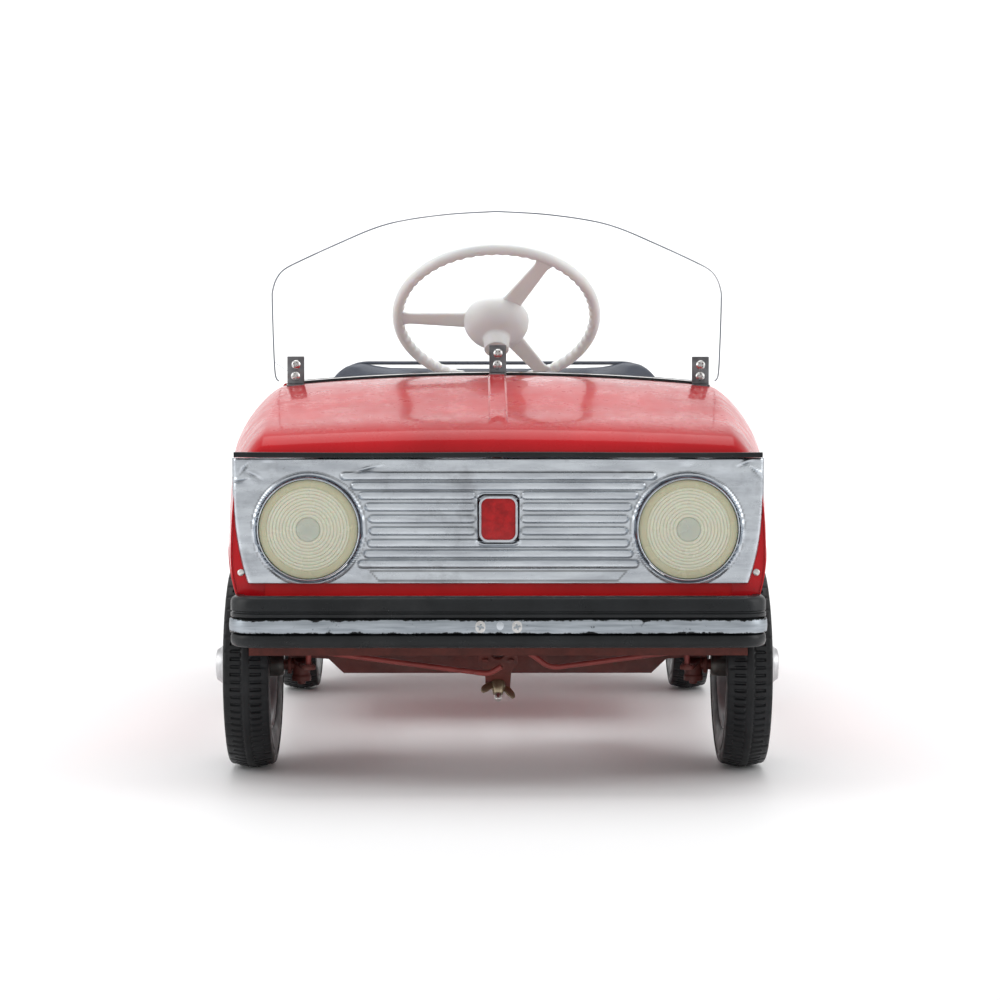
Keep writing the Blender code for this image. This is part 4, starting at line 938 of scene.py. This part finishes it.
def rim_mesh():
    k, per, mi = 60, 8, 20
    P = np.zeros((k * per, mi, 3))
    for i in range(k * per):
        a = 2 * math.pi * i / (k * per)
        sc = 0.5 - 0.5 * math.cos(2 * math.pi * i / per)
        for j in range(mi):
            f = 2 * math.pi * j / mi
            grip = max(0.0, -math.cos(f)) ** 1.2
            r = 0.0060 - 0.0017 * grip * (1 - sc ** 0.7)
            rr = 0.0990 + r * math.cos(f)
            P[i, j] = (rr * math.cos(a), rr * math.sin(a), r * math.sin(f) * 0.98)
    me = grid_mesh("rim", P, True, True)
    bm = bmesh.new()
    bm.from_mesh(me)
    return bm


def spoke_mesh(turn):
    rows = []
    n = 18
    for i in range(n + 1):
        t = i / n
        r = 0.016 + (0.0965 - 0.016) * t
        w = 0.0108 - 0.0040 * t + 0.0045 * max(0.0, (t - 0.86) / 0.14) ** 2 + 0.0030 * max(0.0, (0.22 - t) / 0.22)
        th = 0.0036 - 0.0006 * t
        zc = -0.0035 + 0.0030 * t
        ring = []
        for j in range(20):
            f = 2 * math.pi * j / 20
            c, s = math.cos(f), math.sin(f)
            ring.append((r, w * math.copysign(abs(c) ** 0.75, c), zc + th * math.copysign(abs(s) ** 0.65, s) - 0.0010 * (abs(c) ** 3)))
        rows.append(ring)
    bm = bmesh.new()
    vs = [[bm.verts.new(p) for p in ring] for ring in rows]
    for a, b in zip(vs, vs[1:]):
        for j in range(20):
            bm.faces.new((a[j], a[(j + 1) % 20], b[(j + 1) % 20], b[j]))
    bm.faces.new(vs[0][::-1])
    bm.faces.new(vs[-1])
    bmesh.ops.recalc_face_normals(bm, faces=bm.faces)
    return in_wheel(bm, turn)


hub_prof = [(0.0, 0.0130), (0.0060, 0.0127), (0.0120, 0.0118), (0.0180, 0.0100), (0.0235, 0.0074), (0.0280, 0.0040), (0.0312, 0.0002), (0.0327, -0.0035), (0.0330, -0.0070),
            (0.0323, -0.0110), (0.0305, -0.0155), (0.0272, -0.0205), (0.0230, -0.0245), (0.0185, -0.0275), (0.0152, -0.0290), (0.0136, -0.0302), (0.0130, -0.0330),
            (0.0124, -0.0428), (0.0117, -0.0440), (0.0, -0.0440)]
add("steering_rim", from_bm(in_wheel(rim_mesh()), "sr"), "ivory", "steering", ("steering_wheel",), sharp=60)
add("steering_spokes", from_bm(merge(*[spoke_mesh(math.radians(a)) for a in (180, -60, 60)]), "ss"), "ivory", "steering", sharp=55)
add("steering_hub", from_bm(lathe(hub_prof, HUB, N, 72, closed=False), "sh"), "ivory", "steering", sharp=50)
cap_ring = lathe(rounded([(0.0160, 0.0098), (0.0180, 0.0092), (0.0180, 0.0106), (0.0160, 0.0113)], 0.0004), HUB, N, 48)
add("steering_hub_ring", from_bm(cap_ring, "hr"), "ivory", "steering", sharp=40)
add("column_tube", from_bm(sweep([HUB - N * t for t in np.linspace(0.030, COL_L, 12)], circle(0.0060, 24), up=(1, 0, 0)), "ct"), "steel", "steering", ("steering_column",), sharp=50)

cr_out = rounded([(-0.0110, 0.0110), (0.0110, 0.0110), (0.0120, -0.020), (0.0175, -0.0300), (0.0175, -0.0440), (0.0060, -0.0440), (0.0034, -0.0370),
                  (-0.0034, -0.0370), (-0.0060, -0.0440), (-0.0175, -0.0440), (-0.0175, -0.0300), (-0.0120, -0.020)], 0.0030, 3)
crk = plate(cr_out, 0.0028, WB, HUB - N * (COL_L + 0.0018), 0.0005)
pins = [lathe([(0, 0.0018), (0.0022, 0.0016), (0.0030, 0.0004), (0.0030, -0.0036), (0.0, -0.0040)], HUB - N * (COL_L + 0.0018) + U * 0.0375 + Vector((x, 0, 0)), N, 20, closed=False)
        for x in (-0.0115, 0.0115)]
add("crank_plate", from_bm(merge(crk, *pins), "cp"), "primer", "steering", ("steering_crank",), sharp=40)
nut_at = HUB - N * (COL_L + 0.0035)
wings = []
for s in (-1, 1):
    o = rounded([(s * 0.0035, -0.0010), (s * 0.0050, -0.0058), (s * 0.0100, -0.0112), (s * 0.0140, -0.0136), (s * 0.0165, -0.0120), (s * 0.0160, -0.0078), (s * 0.0110, -0.0018)],
                0.0016, 3)
    if s < 0:
        o = o[::-1]
    wings.append(in_wheel(plate(o, 0.0022, Matrix.Rotation(math.radians(90), 3, "X"), Vector((0, 0, 0)), 0.0007), math.radians(20), (0, 0, -(COL_L + 0.0035))))
stud = lathe([(0, -0.0185), (0.0026, -0.0182), (0.0030, -0.0176), (0.0030, -0.010), (0.0, -0.010)], nut_at, N, 20, closed=False)
core = lathe([(0.0, 0.0), (0.0064, 0.0), (0.0064, -0.0046), (0.0052, -0.0075), (0.0044, -0.0112), (0.0032, -0.0120), (0.0, -0.0120)], nut_at, N, 32, closed=False)
add("wing_nut_body", from_bm(merge(core, *wings), "wn"), "nut", "steering", ("wing_nut",), sharp=45)
add("column_stud", from_bm(stud, "cs"), "screw", "steering", sharp=45)

KX = 0.183
for side, tag in ((1, "left"), (-1, "right")):
    k0 = Vector((side * KX, FRONT_Y, 0))
    sleeve = lathe(rounded([(0.0045, 0.0215), (0.0090, 0.0215), (0.0090, 0.0165), (0.0082, 0.0155), (0.0082, 0.0055), (0.0090, 0.0045), (0.0090, 0.0), (0.0045, 0.0)], 0.0006),
                   k0 + Vector((0, 0, 0.0800)), (0, 0, 1), 40)
    nutk = lathe(rounded([(0.0, 0.1256), (0.0078, 0.1256), (0.0078, 0.1268), (0.0068, 0.1270), (0.0068, 0.1308), (0.0, 0.1308)], 0.0003), k0, (0, 0, 1), 6)
    pin = lathe([(0.0, 0.1335), (0.0030, 0.1333), (0.0036, 0.1325), (0.0038, 0.0775), (0.0030, 0.0768), (0.0, 0.0768)], k0, (0, 0, 1), 24, closed=False)
    stub = lathe([(0.0, 0.0622), (0.0042, 0.0620), (0.0050, 0.0610), (0.0050, 0.0), (0.0, 0.0)], k0 + Vector((0, 0, AXLE_Z)), (side, 0, 0), 32, closed=False)
    coll = lathe(rounded([(0.0050, 0.0090), (0.0085, 0.0090), (0.0085, 0.0125), (0.0050, 0.0125)], 0.0006), k0 + Vector((0, 0, AXLE_Z)), (side, 0, 0), 32)
    a, b = k0.copy(), Vector((side * 0.172, -0.440, 0))
    d = (b - a).normalized()
    p = Vector((-d.y, d.x, 0.0))
    o = rounded([tuple((a + d * 0.004 + p * 0.0075).xy), tuple((a + d * 0.004 - p * 0.0075).xy), tuple((b - p * 0.0062 + d * 0.0062).xy), tuple((b + p * 0.0062 + d * 0.0062).xy)], 0.0055, 4)
    arm = plate(o, 0.0036, Matrix.Identity(3), Vector((0, 0, 0.0990)), 0.0006)
    washer = lathe(rounded([(0.0030, 0.1009), (0.0056, 0.1009), (0.0056, 0.1019), (0.0030, 0.1019)], 0.0002), b, (0, 0, 1), 32)
    add(f"knuckle_body_{tag}", from_bm(merge(sleeve, nutk, pin, stub, coll, arm, washer), "kn"), "primer", f"knuckle_{tag}", (f"knuckle_{tag}",), sharp=40)

    hook = HUB - N * (COL_L + 0.0018 + 0.0115) + U * 0.035
    ax, ay, az = side * 0.172, -0.440, 0.1145
    if side > 0:
        path = [(ax, ay, 0.1016), (ax, ay, az), (0.0510, hook.y - 0.004, 0.1045), (0.0425, hook.y - 0.006, 0.1066), (0.0285, hook.y - 0.009, 0.1175),
                (0.0190, hook.y - 0.010, 0.1212), (-0.0060, hook.y - 0.010, 0.1212), (-0.0115, hook.y - 0.010, 0.1202)]
    else:
        path = [(ax, ay, 0.1016), (ax, ay, az), (-0.0080, hook.y, hook.z - 0.0030), (0.0030, hook.y - 0.003, hook.z + 0.0040)]
    add(f"tie_rod_bar_{tag}", from_bm(sweep(rounded_path(path, 0.008, 6), circle(0.0025, 16), up=(0, 1, 0.02)), "tr"), "rod", f"tie_rod_{tag}", (f"tie_rod_{tag}",), sharp=50)

# ================================================================ wheels
def tyre_mesh(at, side):
    """Moulded tyre: ribbed bands either side of a plain centre band, on rounded shoulders."""
    blocks, per = 84, 6
    na = blocks * per
    T = 0.021
    tread = [(0.0950 - 0.00018 * (h / 0.004) ** 2, h) for h in np.linspace(0.0155, -0.0155, 27)]
    shoulder = [(0.0950 - 0.0030 * (1 - math.cos(a)) - 0.0026, 0.0155 + 0.0050 * math.sin(a)) for a in np.linspace(0.35, math.pi / 2, 6)]
    wall = [(0.0860, T), (0.0845, T), (0.0838, T - 0.0009), (0.0800, T - 0.0011), (0.0792, T - 0.0004), (0.0745, T - 0.0006), (0.0690, T - 0.0016), (0.0650, T - 0.0026),
            (0.0615, T - 0.0040), (0.0601, T - 0.0050)]
    top = wall[::-1] + shoulder[::-1]
    prof = top + tread + [(r, -h) for r, h in top[::-1]]
    B, at = basis((side, 0, 0)), Vector(at)
    P = np.zeros((na, len(prof), 3))
    for i in range(na):
        a = 2 * math.pi * i / na
        ph = i % per
        for j, (r, h) in enumerate(prof):
            ah = abs(h)
            g = 0.0
            if r > 0.089:
                if 0.0045 < ah < 0.0138 and ph in (0, 1):
                    g = 0.0017
                elif 0.0138 <= ah < 0.0185 and ph in (0, 1) and (i // per) % 2:
                    g = 0.0007
                if 0.0030 < ah < 0.0042:
                    g = max(g, 0.0006)
            q = B @ Vector(((r - g) * math.cos(a), (r - g) * math.sin(a), h)) + at
            P[i, j] = q
    me = grid_mesh("tyre", P, True, False)
    bm = bmesh.new()
    bm.from_mesh(me)
    bmesh.ops.holes_fill(bm, edges=[], sides=0)
    bmesh.ops.recalc_face_normals(bm, faces=bm.faces)
    big = max(bm.faces, key=lambda f: (f.calc_center_median() - at).length)
    if big.normal.dot((big.calc_center_median() - at)) < 0:
        bmesh.ops.reverse_faces(bm, faces=bm.faces)
    return bm


DISC = rounded([(0.0112, 0.0185), (0.0112, 0.0098), (0.0200, 0.0092), (0.0300, 0.0070), (0.0420, 0.0070), (0.0480, 0.0100), (0.0530, 0.0150), (0.0575, 0.0178), (0.0597, 0.0172),
                (0.0597, -0.0165), (0.0575, -0.0172), (0.0562, -0.0150), (0.0548, 0.0090), (0.0470, 0.0050), (0.0400, 0.0046), (0.0280, 0.0046), (0.0112, 0.0058), (0.0112, 0.0040),
                (0.0060, 0.0040), (0.0060, 0.0185)], 0.0005, 2)
HUBT = rounded([(0.0110, 0.0056), (0.0110, -0.0240), (0.0098, -0.0280), (0.0056, -0.0280), (0.0056, 0.0056)], 0.0006, 2)
CAP = [(0.0, 0.03440), (0.0060, 0.03445), (0.0115, 0.03455), (0.0130, 0.03460), (0.0142, 0.0341), (0.0150, 0.0330), (0.0156, 0.0318), (0.0172, 0.0300), (0.0190, 0.0279), (0.0196, 0.0274),
       (0.0204, 0.0268), (0.0232, 0.0232), (0.0262, 0.0196), (0.0300, 0.0152), (0.0322, 0.0124), (0.0345, 0.0108), (0.0352, 0.0096), (0.0330, 0.0094), (0.0235, 0.0185),
       (0.0132, 0.0318), (0.0, 0.0326)]
for y, end in ((FRONT_Y, "front"), (REAR_Y, "rear")):
    for side, tag in ((1, "left"), (-1, "right")):
        at, bodyname = (side * 0.227, y, AXLE_Z), f"wheel_{end}_{tag}" if (end, tag) != ("rear", "left") else "rear_axle"
        key = f"{end}_{tag}"
        ty = add(f"tyre_tread_{key}", from_bm(tyre_mesh(at, side), "ty"), "tyre", bodyname, (f"tyre_{key}",), sharp=38)
        add(f"disc_{key}", from_bm(lathe(DISC, at, (side, 0, 0), 72), "di"), "disc", bodyname, (f"wheel_disc_{key}",), sharp=35)
        add(f"hub_tube_{key}", from_bm(lathe(HUBT, at, (side, 0, 0), 40), "ht"), "hub", bodyname, sharp=35)
        add(f"hubcap_cone_{key}", from_bm(lathe(CAP, at, (side, 0, 0), 72, closed=False), "hc"), "cap", bodyname, (f"hubcap_{key}",), sharp=30)

# ================================================================ pedal drive
XW, THROW, TX = 0.010, 0.035, 0.062
ap = [(-0.2450, REAR_Y, AXLE_Z)]
for cx, s in ((-TX, 1), (TX, -1)):
    ap += [(cx - XW - 0.004, REAR_Y, AXLE_Z), (cx - XW - 0.004, REAR_Y + s * THROW, AXLE_Z), (cx + XW + 0.004, REAR_Y + s * THROW, AXLE_Z), (cx + XW + 0.004, REAR_Y, AXLE_Z)]
ap += [(0.2450, REAR_Y, AXLE_Z)]
ax_bm = sweep(rounded_path(ap, 0.0085, 6), circle(0.0050, 20))
cols = [lathe(rounded([(0.0050, -0.003), (0.0088, -0.003), (0.0088, 0.003), (0.0050, 0.003)], 0.0006), (x, REAR_Y, AXLE_Z), (1, 0, 0), 32) for x in (-0.138, 0.138, 0.1965)]
add("crank_axle_bar", from_bm(merge(ax_bm, *cols), "ca"), "steel", "rear_axle", ("crank_axle",), sharp=45)

PEDAL_Y, PEDAL_Z, PEDAL_X = -0.235, 0.275, 0.078
for side, tag in ((1, "left"), (-1, "right")):
    s = -side
    px = side * PEDAL_X
    swing = -s * math.atan2(THROW, PEDAL_Z - 0.098)
    at = Vector((px, PEDAL_Y, PEDAL_Z))
    sleeve = lathe(rounded([(0.0055, -0.0035), (0.0090, -0.0035), (0.0090, 0.0100), (0.0055, 0.0100)], 0.0007), at, (side, 0, 0), 36)
    armb = block((px - 0.0022, PEDAL_Y - 0.0060, 0.0900), (px + 0.0022, PEDAL_Y + 0.0060, PEDAL_Z - 0.0060), 0.0008)
    stud = lathe(rounded([(0.0, -0.0045), (0.0048, -0.0045), (0.0048, 0.0040), (0.0, 0.0040)], 0.0006), (px, PEDAL_Y, 0.098), (side, 0, 0), 24)
    x0, x1 = sorted((px + side * 0.0035, px + side * 0.0555))
    core = block((x0, PEDAL_Y - 0.0050, 0.0790), (x1, PEDAL_Y + 0.0040, 0.1250), 0.0015)
    ribs = [block((x0 - 0.0004, PEDAL_Y + 0.0030, z), (x1 + 0.0004, PEDAL_Y + 0.0068, z + 0.0042), 0.0012) for z in np.arange(0.0785, 0.1240, 0.0068)]
    rot = Matrix.Translation(at) @ Matrix.Rotation(swing, 4, "X") @ Matrix.Translation(-at)
    metal, pad = merge(sleeve, armb, stud), merge(core, *ribs)
    for b in (metal, pad):
        bmesh.ops.transform(b, matrix=rot, verts=b.verts)
    add(f"pedal_arm_{tag}", from_bm(metal, "pa"), "primer", f"pedal_{tag}", (f"pedal_{tag}",), sharp=40)
    add(f"pedal_pad_{tag}", from_bm(pad, "pp", 0), "pedal", f"pedal_{tag}", sharp=40)


# ================================================================ seat: vinyl pads blown up as cloth, then piped
def puff(name, bm, voxel, pressure, cap, quick_grow=0.0):
    me = from_bm(bm, name + "_core")
    ob = bpy.data.objects.new(name + "_core", me)
    bpy.context.scene.collection.objects.link(ob)
    rm = ob.modifiers.new("r", "REMESH")
    rm.mode, rm.voxel_size = "VOXEL", voxel
    bpy.context.view_layer.update()
    base = bpy.data.meshes.new_from_object(ob.evaluated_get(bpy.context.evaluated_depsgraph_get()))
    ob.modifiers.clear()
    ob.data = base
    rest = np.array([v.co for v in base.vertices], float).reshape(-1, 3)
    cl = ob.modifiers.new("cloth", "CLOTH")
    st = cl.settings
    st.use_pressure, st.uniform_pressure_force = True, pressure
    st.effector_weights.gravity = 0.0
    st.quality = 6
    st.tension_stiffness = st.compression_stiffness = 18
    st.bending_stiffness = 0.6
    sc = bpy.context.scene
    for f in range(1, 21):
        sc.frame_set(f)
    ev = ob.evaluated_get(bpy.context.evaluated_depsgraph_get())
    now = np.array([v.co for v in ev.data.vertices], float).reshape(-1, 3)
    ob.modifiers.clear()
    sc.frame_set(1)
    d = now - rest
    ln = np.maximum(np.linalg.norm(d, axis=1), 1e-9)
    d *= (np.minimum(ln, cap) / ln)[:, None]
    now = rest + d
    bpy.data.objects.remove(ob, do_unlink=True)
    base.vertices.foreach_set("co", now.astype(np.float32).ravel())
    base.update()
    return base


def soft(name, me, node, box_lo, box_hi, world):
    """Fit the blown pad to its box, then place it."""
    co = np.array([v.co for v in me.vertices], float).reshape(-1, 3)
    lo, hi = co.min(0), co.max(0)
    co = np.array(box_lo) + (co - lo) / (hi - lo) * (np.array(box_hi) - np.array(box_lo))
    me.vertices.foreach_set("co", co.astype(np.float32).ravel())
    me.transform(world)
    me.update()
    ob = add(name, me, "vinyl", "chassis", (node,), sharp=180)
    sub = ob.modifiers.new("smooth", "SUBSURF")
    sub.levels = sub.render_levels = 1
    return ob


def pad_block(w, d, h, bevel):
    b = block((-w / 2, -d / 2, -h / 2), (w / 2, d / 2, h / 2), 0)
    bmesh.ops.bevel(b, geom=list(b.edges), offset=bevel, segments=4, affect="EDGES", profile=0.5)
    return b


def sew(me, lines, depth, width, axis=2):
    """Press sewn channels into both faces of a pad: lines are x positions, axis the thickness direction."""
    co = np.array([v.co for v in me.vertices], float).reshape(-1, 3)
    mid = 0.5 * (co[:, axis].min() + co[:, axis].max())
    half = 0.5 * (co[:, axis].max() - co[:, axis].min())
    for x in lines:
        g = np.exp(-((co[:, 0] - x) / width) ** 2)
        co[:, axis] -= np.sign(co[:, axis] - mid) * depth * g * np.clip(np.abs(co[:, axis] - mid) / half, 0, 1) ** 0.5
    me.vertices.foreach_set("co", co.astype(np.float32).ravel())
    me.update()


seat = puff("seat_pad", pad_block(0.296, 0.134, 0.030, 0.008), 0.0045, 4.0, 0.011)
sew(seat, [-0.088, -0.030, 0.030, 0.088], 0.0034, 0.0052)
soft("seat_pad", seat, "seat_cushion", (-0.155, -0.036, 0.1492), (0.155, 0.112, 0.1930), Matrix.Identity(4))
pipe = [(x, 0.038 + y, 0.1712) for x, y in rounded_rect(0.3085, 0.1465, 0.016, 8)]
add("seat_pad_piping", from_bm(sweep(pipe, circle(0.0022, 10), cyclic=True), "sp"), "vinyl", "chassis", sharp=80)

bk = plate(rounded_rect(0.366, 0.182, 0.040, 10), 0.019, Matrix.Identity(3), Vector((0, 0, 0)), 0.006, 4)
backm = puff("back_pad", bk, 0.0045, 4.0, 0.010)
sew(backm, [-0.110, -0.037, 0.037, 0.110], 0.0026, 0.0052)
tilt = math.radians(9.55)
BW = Matrix.Translation((0, 0.1440, 0.2860)) @ Matrix.Rotation(-tilt, 4, "X") @ XY_FRONT.to_4x4()
soft("back_pad", backm, "seat_backrest", (-0.190, -0.098, -0.0150), (0.190, 0.098, 0.0150), BW)
pipe = [BW @ Vector((x, y, 0.0)) for x, y in rounded_rect(0.3785, 0.1945, 0.0455, 12)]
add("back_pad_piping", from_bm(sweep(pipe, circle(0.0021, 10), up=BW.to_3x3() @ Vector((0, 0, 1)), cyclic=True), "bp"), "vinyl", "chassis", sharp=80)

# ================================================================ frame pieces kept from the CAD
for node, mat in {"front_valance": "valance", "dashboard": "red", "seat_base": "red", "frame_rail_left": "primer", "frame_rail_right": "primer", "axle_hanger_left": "primer",
                  "axle_hanger_right": "primer", "front_cross_member": "primer", "column_bracket": "primer", "pedal_shaft": "steel", "connecting_rod_left": "steel",
                  "connecting_rod_right": "steel"}.items():
    ob = NODES[node]
    ob.data.materials.clear()
    ob.data.materials.append(M[mat])

# ================================================================ stage, light, camera
def stage():
    bm = bmesh.new()
    prof = [(-6.0, 0.0)] + [(y, 0.0) for y in np.linspace(-5, 3.4, 15)] + [(3.4 + 1.6 * math.sin(a), 1.6 - 1.6 * math.cos(a)) for a in np.linspace(0.1, math.pi / 2, 14)] + [(5.0, 5.0)]
    rows = [[bm.verts.new((x, y, z - 0.0002)) for x in (-6, -3, 0, 3, 6)] for y, z in prof]
    for a, b in zip(rows, rows[1:]):
        for i in range(4):
            bm.faces.new((a[i], a[i + 1], b[i + 1], b[i]))
    me = from_bm(bm, "floor", 0)
    me.shade_smooth()
    ob = bpy.data.objects.new("studio_floor", me)
    bpy.context.scene.collection.objects.link(ob)
    m = bpy.data.materials.new("studio_white")
    m.use_nodes = True
    b = m.node_tree.nodes["Principled BSDF"]
    b.inputs["Base Color"].default_value = (0.90, 0.90, 0.905, 1)
    b.inputs["Roughness"].default_value = 0.55
    b.inputs["Specular IOR Level"].default_value = 0.25
    me.materials.append(m)


stage()


def area(name, loc, target, size, power, color=(1, 1, 1), size_y=None):
    l = bpy.data.lights.new(name, "AREA")
    l.shape, l.size, l.size_y, l.energy, l.color = "RECTANGLE", size, size_y or size, power, color
    ob = bpy.data.objects.new(name, l)
    bpy.context.scene.collection.objects.link(ob)
    ob.location = loc
    ob.rotation_euler = (Vector(target) - Vector(loc)).to_track_quat("-Z", "Y").to_euler()
    return ob


area("key_top", (0.0, 0.3, 2.7), (0, 0, 0.2), 2.6, 34, size_y=2.2)
area("left_box", (-2.5, -0.9, 1.3), (0, -0.2, 0.25), 1.4, 20, size_y=2.0)
area("right_box", (2.5, -0.9, 1.3), (0, -0.2, 0.25), 1.4, 20, size_y=2.0)
area("back_wash", (0.0, 2.6, 2.6), (0, 4.6, 1.2), 3.0, 60, size_y=1.0)

w = bpy.data.worlds.new("studio")
bpy.context.scene.world = w
w.use_nodes = True
w.node_tree.nodes["Background"].inputs["Color"].default_value = (1.0, 1.0, 1.0, 1)
w.node_tree.nodes["Background"].inputs["Strength"].default_value = 0.74

cam_data = bpy.data.cameras.new("camera")
cam_data.lens, cam_data.sensor_width, cam_data.clip_end = 93.2, 36.0, 60.0
cam = bpy.data.objects.new("camera", cam_data)
bpy.context.scene.collection.objects.link(cam)
cam.location = (-0.0128, -2.785, 0.350)
cam.rotation_euler = (math.radians(90 - 2.41), 0.0, math.radians(-0.36))
bpy.context.scene.camera = cam
bpy.context.scene.view_settings.view_transform = "Standard"
